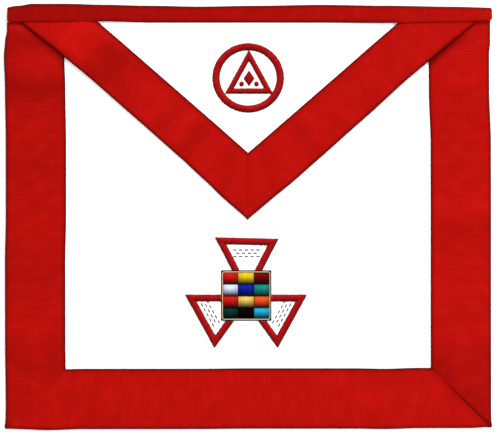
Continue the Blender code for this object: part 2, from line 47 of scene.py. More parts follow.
# The studio
# A pale table seen straight down from far off, with a lamp high beyond the waistband, a weaker one
# beside the lower right corner, and even light from all round.
CAMERA_PLACE = (0.0019, -0.00125, 2.315)
CAMERA_LENS = 200.0
FLOOR_HALF = 2.0
FLOOR_DEPTH = 0.0001
FLOOR_COLOUR = (0.93, 0.93, 0.925, 1.0)
SKY_COLOUR = (1.0, 1.0, 1.0, 1.0)
SKY_STRENGTH = 1.08
LAMPS = {
    "key_lamp": ((0.5, 1.8, 2.1), 0.9, 68.0),
    "fill_lamp": ((0.9, -0.8, 0.9), 0.8, 8.5),
}


def placed(name, data, *materials):
    for material in materials:
        data.materials.append(material)
    made = bpy.data.objects.new(name, data)
    scene.collection.objects.link(made)
    return made


def output(feed):
    """A feed's own output: the first one of a node."""
    return feed.outputs[0] if isinstance(feed, bpy.types.Node) else feed


def node(tree, kind, feeds=(), **settings):
    """A node with its settings, and a value, a node or an output that feeds each of its inputs."""
    made = tree.nodes.new(kind)
    for key, value in settings.items():
        setattr(made, key, value)
    for key, feed in dict(feeds).items():
        if isinstance(output(feed), bpy.types.NodeSocket):
            tree.links.new(output(feed), made.inputs[key])
        else:
            made.inputs[key].default_value = feed
    return made


def finish(name, roughness, gloss=0.3, gloss_tint=(1.0, 1.0, 1.0), sheen=0.0):
    """A material with its node tree and its shader."""
    material = bpy.data.materials.new(name)
    material.use_nodes = True
    shader = material.node_tree.nodes["Principled BSDF"]
    shader.inputs["Roughness"].default_value = roughness
    shader.inputs["Specular IOR Level"].default_value = gloss
    shader.inputs["Specular Tint"].default_value = (*gloss_tint, 1.0)
    shader.inputs["Sheen Weight"].default_value = sheen
    shader.inputs["Sheen Tint"].default_value = (*gloss_tint, 1.0)
    return material, material.node_tree, shader


camera_data = bpy.data.cameras.new("camera")
camera_data.lens = CAMERA_LENS
camera = placed("camera", camera_data)
camera.location = CAMERA_PLACE
scene.camera = camera
scene.view_settings.view_transform = "Standard"

scene.world = bpy.data.worlds.new("studio")
scene.world.use_nodes = True
sky = scene.world.node_tree.nodes["Background"]
sky.inputs["Color"].default_value = SKY_COLOUR
sky.inputs["Strength"].default_value = SKY_STRENGTH

for name, (place, size, power) in LAMPS.items():
    lamp_data = bpy.data.lights.new(name, "AREA")
    lamp_data.size = size
    lamp_data.energy = power
    lamp = placed(name, lamp_data)
    lamp.location = place
    lamp.rotation_euler = (-lamp.location).to_track_quat("-Z", "Y").to_euler()

table_finish, tree, shader = finish("table_finish", 0.9)
shader.inputs["Base Color"].default_value = FLOOR_COLOUR
floor_mesh = bpy.data.meshes.new("table_top")
floor_signs = [(-1, -1), (1, -1), (1, 1), (-1, 1)]
floor_corners = [(x * FLOOR_HALF, y * FLOOR_HALF, -FLOOR_DEPTH) for x, y in floor_signs]
floor_mesh.from_pydata(floor_corners, [], [range(4)])
placed("table_top", floor_mesh, table_finish)

# The leather panel
# One sheet of white lambskin, 1.3 mm thick. Its edges lie inside the folds of the ribbons, and from
# there it comes down to the table over 30 mm, with a few soft swells from handling.
LEFT, RIGHT = -1, 1
APRON_WIDTH = 0.4064
APRON_LENGTH = 0.3556
LEATHER = 0.0013
RIBBON = 0.001
GAP = 0.0003
EDGE_DRIFT = 0.0036
TURN_WIDTH = 0.012
BAND_HEIGHT = 0.015
SETTLE = 0.03
PANEL_SWELL = 0.0005
PANEL_STEP = 0.0025
HALF_WIDTH = APRON_WIDTH / 2
HALF_LENGTH = APRON_LENGTH / 2
LAYER = RIBBON + GAP
FOLD_DEPTH = (LEATHER + 2 * LAYER) / 2
SETTLE_START = TURN_WIDTH + EDGE_DRIFT + GAP
BAND_SETTLE_START = BAND_HEIGHT + EDGE_DRIFT + GAP
SHARP_ANGLE = math.radians(40.0)

# Inward drift of each side's edge, from the waistband down: along, left, right
SIDE_EDGES = (
    (0.00, 0.86, 0.36), (0.06, 0.75, 0.36), (0.09, 0.30, 0.36), (0.12, 0.05, 0.60),
    (0.20, 0.30, 0.58), (0.33, 0.47, 0.16), (0.50, 0.47, 0.14), (0.60, 0.28, 0.14),
    (0.78, 0.30, 0.14), (0.95, 0.47, 0.10), (1.00, 0.30, 0.00),
)

# Inward drift of the bottom edge, from left to right: along, drift
BOTTOM_EDGE = (
    (0.00, 0.50), (0.03, 0.30), (0.09, 0.07), (0.16, 0.30), (0.40, 0.32), (0.50, 0.42),
    (0.72, 0.42), (0.78, 0.31), (0.85, 0.53), (0.95, 0.55), (1.00, 0.80),
)

# Downward drift of the waistband's fold and of its lower edge, from left to right
BAND_EDGES = (
    (0.00, 1.00, 0.17), (0.03, 0.55, 0.15), (0.06, 0.10, 0.13), (0.13, 0.10, 0.10),
    (0.20, 0.31, 0.08), (0.30, 0.53, 0.30), (0.40, 0.72, 0.30), (0.52, 0.53, 0.30),
    (0.65, 0.31, 0.31), (0.78, 0.53, 0.45), (0.92, 0.78, 0.15), (1.00, 1.00, -0.15),
)

# Soft swells: middle x and y, half length, half width as shares of the apron, turn in degrees, height
PANEL_SWELLS = (
    (-0.45, 0.43, 0.16, 0.062, 12.0, 1.0), (-0.46, 0.31, 0.15, 0.070, -4.0, 1.1),
    (0.46, 0.30, 0.14, 0.080, 0.0, 0.6), (0.46, -0.03, 0.14, 0.090, 0.0, 0.5),
    (0.45, -0.31, 0.12, 0.070, -20.0, 0.9), (-0.20, -0.46, 0.070, 0.14, 0.0, 0.5),
    (0.16, -0.46, 0.075, 0.14, 0.0, 0.6),
)

# White lambskin: two whites in clouds, and the sizes of its clouds, pebbles and creases
LEATHER_COLOURS = ((0.0, (0.86, 0.855, 0.845)), (1.0, (0.93, 0.928, 0.922)))
LEATHER_CLOUD = 0.03
LEATHER_PEBBLE = 0.0007
LEATHER_CREASE = 0.009
LEATHER_ROUGHNESS = 0.52
GRAIN_DEPTH = 0.0002
GRAIN_STRENGTH = 0.35


def ease(part):
    """A smooth step from 0 at 0 to 1 at 1, level outside."""
    part = np.clip(part, 0.0, 1.0)
    return part * part * (3.0 - 2.0 * part)


def between(first, last, part):
    return first + (last - first) * part


def points(*values):
    """Arrays of coordinates, or of other values of the same places, as one grid of rows of values."""
    return np.stack(np.broadcast_arrays(*values), axis=-1)


def from_table(rows, along, column):
    """A column of a table at shares along it, eased from row to row."""
    table = np.array(rows)
    after = np.clip(np.searchsorted(table[:, 0], along), 1, len(table) - 1)
    start, end = table[after - 1], table[after]
    part = ease((along - start[..., 0]) / (end[..., 0] - start[..., 0]))
    return between(start[..., column], end[..., column], part)


def side_edge(side, y):
    """X of the outer edge of a side ribbon."""
    column = 1 if side == LEFT else 2
    return side * (HALF_WIDTH - EDGE_DRIFT * from_table(SIDE_EDGES, 0.5 - y / APRON_LENGTH, column))


def bottom_edge(x):
    """Y of the outer edge of the bottom ribbon."""
    return EDGE_DRIFT * from_table(BOTTOM_EDGE, 0.5 + x / APRON_WIDTH, 1) - HALF_LENGTH


def band_top(x):
    """Y of the waistband's fold."""
    return HALF_LENGTH - EDGE_DRIFT * from_table(BAND_EDGES, 0.5 + x / APRON_WIDTH, 1)


def swell(rows, x, y):
    """Height that the soft swells of a table add at a point, as a share of their named height."""
    height = 0.0 * (x + y)
    for middle_x, middle_y, half_length, half_width, turn, share in rows:
        away_x = x / APRON_WIDTH - middle_x
        away_y = y / APRON_WIDTH - middle_y * APRON_LENGTH / APRON_WIDTH
        turned = math.radians(turn)
        along = away_x * math.cos(turned) + away_y * math.sin(turned)
        across = away_y * math.cos(turned) - away_x * math.sin(turned)
        height = height + share * np.exp(-((along / half_length) ** 2) - (across / half_width) ** 2)
    return height


def floor_swell(x, y):
    return PANEL_SWELL * swell(PANEL_SWELLS, x, y)


def panel_back(x, y):
    """Height of the panel's back: over the turned ribbons at the edges, and on the table between."""
    level = ease((HALF_LENGTH - y - BAND_SETTLE_START) / SETTLE)
    for inward in (HALF_WIDTH + x, HALF_WIDTH - x, HALF_LENGTH + y):
        level = level * ease((inward - SETTLE_START) / SETTLE)
    return LAYER * (1.0 - level) + floor_swell(x, y)


def panel_top(x, y):
    return panel_back(x, y) + LEATHER


def turned_out(mesh):
    """Turns a mesh's faces outwards and smooths its round parts."""
    work = bmesh.new()
    work.from_mesh(mesh)
    bmesh.ops.recalc_face_normals(work, faces=work.faces)
    work.to_mesh(mesh)
    work.free()
    mesh.shade_smooth()
    mesh.set_sharp_from_angle(angle=SHARP_ANGLE)


def closed_sheet(name, outer, inner, ring=False, walled=False):
    """The mesh of a closed sheet between two grids of points. The inner grid may have one row for
    every few of the outer one. A ring's last row meets its first. A walled sheet has its first and
    last rows filled from front to back, as in a pouch that is open along one edge."""
    columns = outer.shape[1]
    first = np.arange(outer.shape[0] * columns).reshape(-1, columns)
    second = first.size + np.arange(inner.shape[0] * columns).reshape(-1, columns)
    if ring:
        first, second = np.vstack([first, first[:1]]), np.vstack([second, second[:1]])
    step = (len(first) - 1) // (len(second) - 1)
    faces = []
    for grid in (first, second):
        around = [grid[:-1, :-1], grid[1:, :-1], grid[1:, 1:], grid[:-1, 1:]]
        faces += np.stack(around, axis=-1).reshape(-1, 4).tolist()
    for column in (0, -1):
        for at, (near, far) in enumerate(zip(second[:-1, column], second[1:, column])):
            run = first[at * step : (at + 1) * step + 1, column]
            half = (step + 1) // 2
            faces += [(near, a, b) for a, b in zip(run[:half], run[1 : half + 1])]
            faces += [(far, a, b) for a, b in zip(run[half:], run[half + 1 :])]
            faces.append((near, run[half], far))
    for upper, lower in () if ring else ((first[0], second[0]), (first[-1], second[-1])):
        if walled:
            faces.append((upper[0], lower[0], lower[-1], upper[-1]))
            for row in (upper, lower):
                far, half = row[::-1], len(row) // 2
                faces += list(zip(row[: half - 1], row[1:half], far[1:half], far[: half - 1]))
                faces.append((row[half - 1], row[half], row[half + 1]))
        else:
            faces += np.stack([upper[:-1], upper[1:], lower[1:], lower[:-1]], axis=-1).tolist()
    mesh = bpy.data.meshes.new(name)
    corners = np.concatenate([outer.reshape(-1, 3), inner.reshape(-1, 3)])
    mesh.from_pydata(corners.tolist(), [], [[int(at) for at in face] for face in faces])
    turned_out(mesh)
    return mesh


def on_root(piece, slot, *nodes):
    """What every piece needs: its body, and the solids that it stands for, which are hidden. slot is not
    used.
    """
    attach(piece, "root")
    if nodes:
        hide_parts(*nodes)
    return piece


def maths(tree, operation, *feeds, **settings):
    return node(tree, "ShaderNodeMath", enumerate(feeds), operation=operation, **settings)


def ramp(tree, factor, *stops):
    """Colours that follow a factor, each stop a place from 0 to 1 and a linear colour."""
    made = node(tree, "ShaderNodeValToRGB", {"Fac": factor})
    elements = made.color_ramp.elements
    for index, (place, colour) in enumerate(stops):
        element = elements[index] if index < 2 else elements.new(place)
        element.position = place
        element.color = (*colour, 1.0)
    return made


def shown(tree, shader, colour, relief=None):
    """Gives a shader its colour and, where it has one, the relief of its surface."""
    tree.links.new(output(colour), shader.inputs["Base Color"])
    if relief:
        tree.links.new(output(relief), shader.inputs["Normal"])


leather_finish, tree, shader = finish("white_leather_finish", LEATHER_ROUGHNESS)
place = node(tree, "ShaderNodeTexCoord").outputs["Object"]
cloud = node(tree, "ShaderNodeTexNoise", {"Vector": place, "Scale": 1 / LEATHER_CLOUD, "Detail": 5.0})
pebble_look = {"Vector": place, "Scale": 1 / LEATHER_PEBBLE, "Randomness": 1.0}
pebbles = node(tree, "ShaderNodeTexVoronoi", pebble_look, feature="SMOOTH_F1")
crease_look = {"Scale": 1 / LEATHER_CREASE, "Detail": 8.0, "Roughness": 0.7, "Distortion": 1.2}
creases = node(tree, "ShaderNodeTexNoise", {"Vector": place, **crease_look})
relief = maths(tree, "MULTIPLY_ADD", pebbles, 0.5, creases)
grain_look = {"Height": relief, "Strength": GRAIN_STRENGTH, "Distance": GRAIN_DEPTH}
grain = node(tree, "ShaderNodeBump", grain_look)
shown(tree, shader, ramp(tree, cloud, *LEATHER_COLOURS), grain)

panel_columns = np.linspace(-HALF_WIDTH, HALF_WIDTH, round(APRON_WIDTH / PANEL_STEP) + 1)[None, :]
panel_rows = np.linspace(HALF_LENGTH, -HALF_LENGTH, round(APRON_LENGTH / PANEL_STEP) + 1)[:, None]
panel_left = side_edge(LEFT, panel_rows) + FOLD_DEPTH
panel_right = side_edge(RIGHT, panel_rows) - FOLD_DEPTH
panel_x = np.clip(panel_columns + 0.0 * panel_rows, panel_left, panel_right)
panel_y = np.clip(panel_rows, bottom_edge(panel_x) + FOLD_DEPTH, band_top(panel_x) - FOLD_DEPTH)
panel_skins = [points(panel_x, panel_y, height(panel_x, panel_y)) for height in (panel_top, panel_back)]
leather_panel = placed("leather_panel", closed_sheet("leather_panel", *panel_skins), leather_finish)
on_root(leather_panel, "white_leather", "apron_panel")

# The border ribbons
# Stout red grosgrain, 63 mm wide, folded over the sides and the bottom edge with 12 mm on the back,
# mitred at the lower corners and topstitched along the inner edge. Its ribs run across its width.
BORDER_WIDTH = 0.0503
TUCK = 0.003
TOP_JOIN = 0.012
MITRE_GAP = GAP / math.sqrt(2)
RIB_PITCH = 0.0016
RIB_HEIGHT = 0.00004
ROWS_TO_A_RIB = 4
ROWS_TO_A_LINING_ROW = 16
BORDER_COLUMNS = 16
FOLD_KEEP = 2 * FOLD_DEPTH + RIBBON
FOLD_TURNS = np.linspace(90.0, -90.0, 9)
SEAM_SLIT = -0.00004
CORNER_OVERLAP = 0.0014
CORNER_RISE = 0.007
LAP_DIP = 0.017
LAP_RISE = 0.00035
LAP_RUN = 0.10
WAVE_FADE = 0.008
BORDER_WAVE = 0.0016
BORDER_STITCHES = 200
STITCH_LENGTH = 0.0024
STITCH_PITCH = 0.0031
STITCH_THICKNESS = 0.00042
STITCH_INSET = 0.0022
STITCH_SKEW = 0.09

# Waves in the border ribbons, given as the panel's swells are
BORDER_WAVES = (
    (-0.45, 0.480, 0.30, 0.220, 0.0, 0.8), (-0.47, 0.438, 0.08, 0.046, 6.0, 1.0),
    (-0.45, 0.336, 0.14, 0.042, -4.0, 0.8), (-0.44, 0.16, 0.12, 0.060, 5.0, 0.25),
    (-0.45, -0.08, 0.12, 0.070, -3.0, 0.3), (-0.44, -0.29, 0.12, 0.060, 4.0, 0.4),
    (0.45, 0.30, 0.14, 0.060, 0.0, 0.3), (0.45, -0.005, 0.14, 0.036, 3.0, 0.3),
    (0.45, -0.20, 0.12, 0.060, -4.0, 0.12), (-0.28, -0.45, 0.050, 0.12, 0.0, 0.5),
    (-0.06, -0.45, 0.060, 0.12, 0.0, 0.4), (0.20, -0.45, 0.060, 0.12, 0.0, 0.3),
)

# Red silk, and the sizes of its streaks, clouds and threads along and across the ribbon
RED_DARK = (0.232, 0.0021, 0.0014)
RED_MIDDLE = (0.260, 0.0025, 0.0017)
RED_LIGHT = (0.290, 0.0031, 0.0021)
RED_GLOSS = (1.0, 0.06, 0.04)
SILK_STREAK = (0.0016, 0.012)
SILK_CLOUD = (0.011, 0.017)
SILK_THREAD = (0.0011, 0.00028)

# Painted shade near a ribbon's edge: share of the edge's band, share of the colour
EDGE_BAND = 0.0034
EDGE_PAINTED_SHADE = ((0.0, 0.12), (0.25, 0.5), (0.5, 0.82), (1.0, 1.0))
WOVEN_EDGE = 0.8

# Painted light and shade on the silk's waves: how much lighter its colour is made where it
# slopes up towards the lamp. The left ribbon has a little painted shade all along.
PAINTED_SILK_SHEEN = 3.0
SLOPE_STEP = 0.0005
SIDE_PAINTED_SHADES = {LEFT: 0.945, RIGHT: 1.0}

# Where a border lies in the shade: above the right mitre, and beside the flap's left and right edges
LAP_SHADE = 0.86
LAP_SHADE_START = 0.028
LAP_SHADE_RUN = 0.020
FLAP_SHADES = {LEFT: (0.66, 0.009), RIGHT: (0.36, 0.006)}
FLAP_SHADE_TOP = 0.160
FLAP_SHADE_RUN = 0.022

# How a corner seam shades the ribbons: the edge distance that it counts as, and its growth away from it
SEAM_SHADES = {LEFT: (0.0013, 4.0), RIGHT: (0.0, 1.6)}


def geometry_tree(name, sockets):
    """A geometry node tree with its input and output nodes and named inputs, the last one a finish."""
    tree = bpy.data.node_groups.new(name, "GeometryNodeTree")
    for label, kind in {"Geometry": "Geometry", **sockets, "Finish": "Material"}.items():
        tree.interface.new_socket(label, in_out="INPUT", socket_type=f"NodeSocket{kind}")
    tree.interface.new_socket("Geometry", in_out="OUTPUT", socket_type="NodeSocketGeometry")
    return tree, tree.nodes.new("NodeGroupInput").outputs, tree.nodes.new("NodeGroupOutput").inputs


def ended(tree, given, result, geometry):
    """Ends a tree: its instances are made real and get its finish."""
    real = node(tree, "GeometryNodeRealizeInstances", {"Geometry": geometry})
    dressed = node(tree, "GeometryNodeSetMaterial", {"Geometry": real, "Material": given["Finish"]})
    tree.links.new(output(dressed), result["Geometry"])


def grown(name, mesh, tree, inputs):
    """The plain piece that a tree makes from a mesh, with the tree's inputs by name."""
    base = placed(name + "_base", mesh)
    modifier = base.modifiers.new("growth", "NODES")
    modifier.node_group = tree
    for socket in tree.interface.items_tree:
        if socket.in_out == "INPUT" and socket.name in inputs:
            modifier[socket.identifier] = inputs[socket.name]
    depsgraph = bpy.context.evaluated_depsgraph_get()
    result = bpy.data.meshes.new_from_object(
        base.evaluated_get(depsgraph), preserve_all_data_layers=True, depsgraph=depsgraph
    )
    base.modifiers.remove(modifier)
    bpy.data.objects.remove(base)
    result.name = name
    return placed(name, result)


def stored_value(tree, name, kind="FLOAT"):
    """What a mesh stores at its points, for a geometry tree."""
    return node(tree, "GeometryNodeInputNamedAttribute", {"Name": name}, data_type=kind)


def surface_value(tree, name, kind="Fac"):
    """What a mesh stores at its points, for a material."""
    return node(tree, "ShaderNodeAttribute", attribute_name=name).outputs[kind]


rib_tree, given, result = geometry_tree("woven_ribs", {"Rib pitch": "Float", "Rib height": "Float"})
along = node(rib_tree, "ShaderNodeSeparateXYZ", {0: stored_value(rib_tree, "lay", "FLOAT_VECTOR")})
turns = maths(rib_tree, "DIVIDE", along, given["Rib pitch"])
wave = maths(rib_tree, "SINE", maths(rib_tree, "MULTIPLY", turns, 2 * math.pi))
height = maths(rib_tree, "MULTIPLY", wave, given["Rib height"])
on_face = maths(rib_tree, "MULTIPLY", height, stored_value(rib_tree, "face"))
normal = node(rib_tree, "GeometryNodeInputNormal")
lift = node(rib_tree, "ShaderNodeVectorMath", {0: normal, "Scale": on_face}, operation="SCALE")
raised = node(rib_tree, "GeometryNodeSetPosition", {"Geometry": given["Geometry"], "Offset": lift})
ended(rib_tree, given, result, raised)

stitch_inputs = {"Stitch pitch": "Float", "Stitch size": "Vector", "Seed": "Int"}
stitch_tree, given, result = geometry_tree("stitch_line", stitch_inputs)
path = node(stitch_tree, "GeometryNodeMeshToCurve", {"Mesh": given["Geometry"]})
spacing = {"Curve": path, "Length": given["Stitch pitch"]}
spaced = node(stitch_tree, "GeometryNodeResampleCurve", spacing, mode="LENGTH")
bead = node(stitch_tree, "GeometryNodeMeshUVSphere", {"Segments": 8, "Rings": 5, "Radius": 0.5})
heading = node(stitch_tree, "GeometryNodeInputTangent")
turned = node(stitch_tree, "FunctionNodeAlignRotationToVector", {"Vector": heading}, axis="X")
skews = {0: (0.0, 0.0, -STITCH_SKEW), 1: (0.0, 0.0, STITCH_SKEW), "Seed": given["Seed"]}
skew = node(stitch_tree, "FunctionNodeRandomValue", skews, data_type="FLOAT_VECTOR")
turning = {"Rotation": turned, "Rotate By": skew}
tilted = node(stitch_tree, "FunctionNodeRotateRotation", turning, rotation_space="LOCAL")
laying = {"Points": spaced, "Instance": bead, "Rotation": tilted, "Scale": given["Stitch size"]}
ended(stitch_tree, given, result, node(stitch_tree, "GeometryNodeInstanceOnPoints", laying))


def woven_noise(tree, lay, size, detail, depth=0.0):
    """Noise that lies in a ribbon's weave, with blots of a size along and across it."""
    scaled = node(tree, "ShaderNodeMapping", {"Vector": lay, "Scale": (1 / size[0], 1 / size[1], depth)})
    return node(tree, "ShaderNodeTexNoise", {"Vector": scaled, "Scale": 1.0, "Detail": detail})


def toned(tree, plain, factor, levels):
    """A colour with painted shade by levels along a factor, and the painted light and shade stored
    as the tone at each point.
    """
    lit = ramp(tree, factor, *[(place, (level,) * 3) for place, level in levels])
    colour = node(tree, "ShaderNodeVectorMath", {0: plain, 1: lit}, operation="MULTIPLY")
    feeds = {0: colour, "Scale": surface_value(tree, "tone")}
    return node(tree, "ShaderNodeVectorMath", feeds, operation="SCALE")


def ribbon_finish(name, roughness, depth):
    """Red ribbed silk: streaks along the ribs, fine threads across them, painted shade at its edges, and
    the painted light and shade stored at its points. depth darkens the whole ribbon's colour."""
    material, tree, shader = finish(name, roughness, 0.12, RED_GLOSS, 0.03)
    lay = surface_value(tree, "lay", "Vector")
    streaks, cloud = woven_noise(tree, lay, SILK_STREAK, 3.0), woven_noise(tree, lay, SILK_CLOUD, 4.0)
    shade = maths(tree, "MULTIPLY_ADD", streaks, 0.6, cloud)
    plain = ramp(tree, shade, (0.45, RED_DARK), (0.8, RED_MIDDLE), (1.0, RED_LIGHT))
    edge = node(tree, "ShaderNodeSeparateXYZ", {0: lay}).outputs["Z"]
    band = maths(tree, "DIVIDE", edge, EDGE_BAND, use_clamp=True)
    threads = woven_noise(tree, lay, SILK_THREAD, 2.0, 1.0)
    bump = node(tree, "ShaderNodeBump", {"Height": threads, "Strength": 0.5, "Distance": 0.00008})
    levels = [(place, depth * level) for place, level in EDGE_PAINTED_SHADE]
    shown(tree, shader, toned(tree, plain, band, levels), bump)
    return material


red_ribbon_finish = ribbon_finish("red_ribbon_finish", 0.55, 1.0)
band_ribbon_finish = ribbon_finish("band_ribbon_finish", 0.7, 0.87)

red_thread_finish, tree, shader = finish("red_thread_finish", 0.42, 0.3, RED_GLOSS, 0.1)
shown(tree, shader, ramp(tree, surface_value(tree, "shade"), (0.0, RED_MIDDLE), (1.0, RED_LIGHT)))


def band_low(x):
    """Y of the waistband's lower edge."""
    drift = from_table(BAND_EDGES, 0.5 + x / APRON_WIDTH, 2)
    return HALF_LENGTH - BAND_HEIGHT - EDGE_DRIFT * drift


def border_front(x, y):
    """Height of the middle of a border ribbon's front layer, without its own waves."""
    return panel_top(x, y) + GAP + RIBBON / 2


def beside_flap(x, y, fade=WAVE_FADE):
    """1 well outside the flap's slanted edges, falling to 0 where the flap lies."""
    level = 1.0
    for side in (LEFT, RIGHT):
        (start_x, start_y), _, (in_x, in_y), _ = flap_lines(side)
        outside = ease(-((x - start_x) * in_x + (y - start_y) * in_y) / fade)
        level = level * np.maximum(outside, side * x < 0.0)
    return level


def border_wave(x, y, inward):
    """How far the waves lift a border ribbon's front off the leather between its sewn edges."""
    sewn = ease((inward - FOLD_DEPTH) / WAVE_FADE) * ease((BORDER_WIDTH - inward) / WAVE_FADE)
    return BORDER_WAVE * swell(BORDER_WAVES, x, y) * sewn * beside_flap(x, y)


def corner_seam(side):
    """The ends of the seam at a lower corner: the outer corner, and where the inner edges meet."""
    corner_x, corner_y = float(side_edge(side, -HALF_LENGTH)), float(bottom_edge(side * HALF_WIDTH))
    inner_x, inner_y = corner_x, corner_y + BORDER_WIDTH
    for _ in range(4):
        inner_x = float(side_edge(side, inner_y)) - side * BORDER_WIDTH
        inner_y = float(bottom_edge(inner_x)) + BORDER_WIDTH
    return (corner_x, corner_y), (inner_x, inner_y)


def lap_rise(x, y):
    """How far the right ribbon rises as it runs up from its dip under the lap of the bottom ribbon."""
    (out_x, out_y), (in_x, in_y) = corner_seam(RIGHT)
    above = y - out_y - (in_y - out_y) * (x - out_x) / (in_x - out_x)
    dip = ease(above / LAP_DIP) * (1.0 - ease((above - LAP_DIP) / LAP_RUN))
    return LAP_RISE * dip * ease((side_edge(RIGHT, y) - x - FOLD_DEPTH) / WAVE_FADE)


def painted_silk_shading(x, y, side=0):
    """Painted light and shade of a border ribbon: by the slope of its waves, and darker where it
    lies in the shade.
    """

    def height(y):
        return BORDER_WAVE * swell(BORDER_WAVES, x, y) + (lap_rise(x, y) if side == RIGHT else 0.0)

    rise = (height(y + SLOPE_STEP) - height(y - SLOPE_STEP)) / (2 * SLOPE_STEP)
    low = ease((corner_seam(RIGHT)[1][1] + LAP_SHADE_START - y) / LAP_SHADE_RUN) * (side == RIGHT)
    tone = SIDE_PAINTED_SHADES.get(side, 1.0) * between(1.0, LAP_SHADE, low) * (1.0 - PAINTED_SILK_SHEEN * rise)
    shade, fade = FLAP_SHADES.get(side, (1.0, WAVE_FADE))
    shaded = (1.0 - beside_flap(x, y, fade)) * ease((FLAP_SHADE_TOP - y) / FLAP_SHADE_RUN)
    return tone * between(1.0, shade, shaded)


def seam_shaded(side, x, y, edge):
    """Distance from a ribbon's nearest edge, with the seam at a lower corner counted in."""
    (out_x, out_y), (in_x, in_y) = corner_seam(side)
    away = np.abs((x - out_x) * (in_y - out_y) - (y - out_y) * (in_x - out_x))
    start, growth = SEAM_SHADES[side]
    return np.minimum(edge, start + growth * away / math.hypot(in_x - out_x, in_y - out_y))


def edge_distance(inward, full):
    """Distance from the fold or from the woven edge, whichever is nearer."""
    return np.minimum(inward - RIBBON / 2, WOVEN_EDGE * (full - inward))


def narrowed(distance, limit, full, keep):
    """Distances in from an edge, drawn together where a slanted end leaves less room than the full
    width. What lies within keep of the edge is drawn together last."""
    near = np.minimum(distance, keep) * np.clip(limit / keep, 0.0, 1.0)
    far = np.maximum(distance - keep, 0.0) * np.clip((limit - keep) / (full - keep), 0.0, 1.0)
    return near + far


def fold_distances():
    bend = FOLD_DEPTH - RIBBON / 2
    return FOLD_DEPTH - bend * np.cos(np.radians(FOLD_TURNS))


def border_profile():
    """Across a border ribbon, from its inner edge round the fold to the edge on the back: distance in
    from the outer edge, direction that the outer face looks in, and full width of that layer."""
    front = np.linspace(BORDER_WIDTH, FOLD_KEEP, BORDER_COLUMNS)
    back = np.array([FOLD_KEEP, (FOLD_KEEP + TURN_WIDTH) / 2, TURN_WIDTH])
    distance = np.concatenate([front, fold_distances(), back])
    turn = np.concatenate([np.full(len(front), 90.0), FOLD_TURNS, np.full(len(back), -90.0)])
    full = np.where(turn > 0.0, BORDER_WIDTH, TURN_WIDTH)
    return distance[None, :], np.radians(turn)[None, :], full[None, :]


def fine_rows(first, last, lining_step=ROWS_TO_A_LINING_ROW):
    """Row places along a ribbon, four to a rib, in a whole number of lining rows."""
    blocks = math.ceil(abs(last - first) / RIB_PITCH * ROWS_TO_A_RIB / lining_step)
    return np.linspace(first, last, blocks * lining_step + 1)[:, None]


def ribbon(
    name, node_name, rows, skin, lay,
    material=red_ribbon_finish, lining_step=ROWS_TO_A_LINING_ROW, walled=False,
):
    """A closed ribbon with woven ribs on its face. skin gives its points, half a thickness out or in
    at rows of places along it. lay says how far along it, across it and from its nearest edge each
    point is, and the painted light and shade of its colour there."""
    lining = rows[::lining_step]
    outer, inner = skin(RIBBON / 2, rows), skin(-RIBBON / 2, lining)
    mesh = closed_sheet(name, outer, inner, walled=walled)
    values = np.concatenate([points(*lay(places)).reshape(-1, 4) for places in (rows, lining)])
    faces = np.repeat([1.0, 0.0], [outer.size // 3, inner.size // 3])
    mesh.attributes.new("lay", "FLOAT_VECTOR", "POINT").data.foreach_set("vector", values[:, :3].ravel())
    # The tone at each point is painted light and shade.
    mesh.attributes.new("tone", "FLOAT", "POINT").data.foreach_set("value", values[:, 3])
    mesh.attributes.new("face", "FLOAT", "POINT").data.foreach_set("value", faces)
    inputs = {"Rib pitch": RIB_PITCH, "Rib height": RIB_HEIGHT, "Finish": material}
    piece = grown(name, mesh, rib_tree, inputs)
    on_root(piece, "red_ribbon", node_name)


def folded(spot, distance, turn, front):
    """The skin of a ribbon that is folded over an edge."""

    def skin(half, rows):
        x, y = spot(rows, distance - half * np.cos(turn))
        middle = between(floor_swell(x, y) + RIBBON / 2, front(x, y), (1.0 + np.sin(turn)) / 2)
        return points(x, y, middle + half * np.sin(turn))

    return skin


def border_lay(along, inward, turn, edge, tone):
    front = turn > 0.0
    return along, np.where(front, inward, -inward), edge, np.where(front, tone, 1.0)


def stitch_line(name, x, y, z, seed):
    """Topstitching along a line of points."""
    line = points(x, y, z).reshape(-1, 3)
    mesh = bpy.data.meshes.new(name)
    mesh.from_pydata(line.tolist(), [(at, at + 1) for at in range(len(line) - 1)], [])
    size = (STITCH_LENGTH, STITCH_THICKNESS, STITCH_THICKNESS)
    inputs = {"Stitch pitch": STITCH_PITCH, "Stitch size": size, "Seed": seed, "Finish": red_thread_finish}
    piece = grown(name, mesh, stitch_tree, inputs)
    piece.data.shade_smooth()
    on_root(piece, "red_thread")


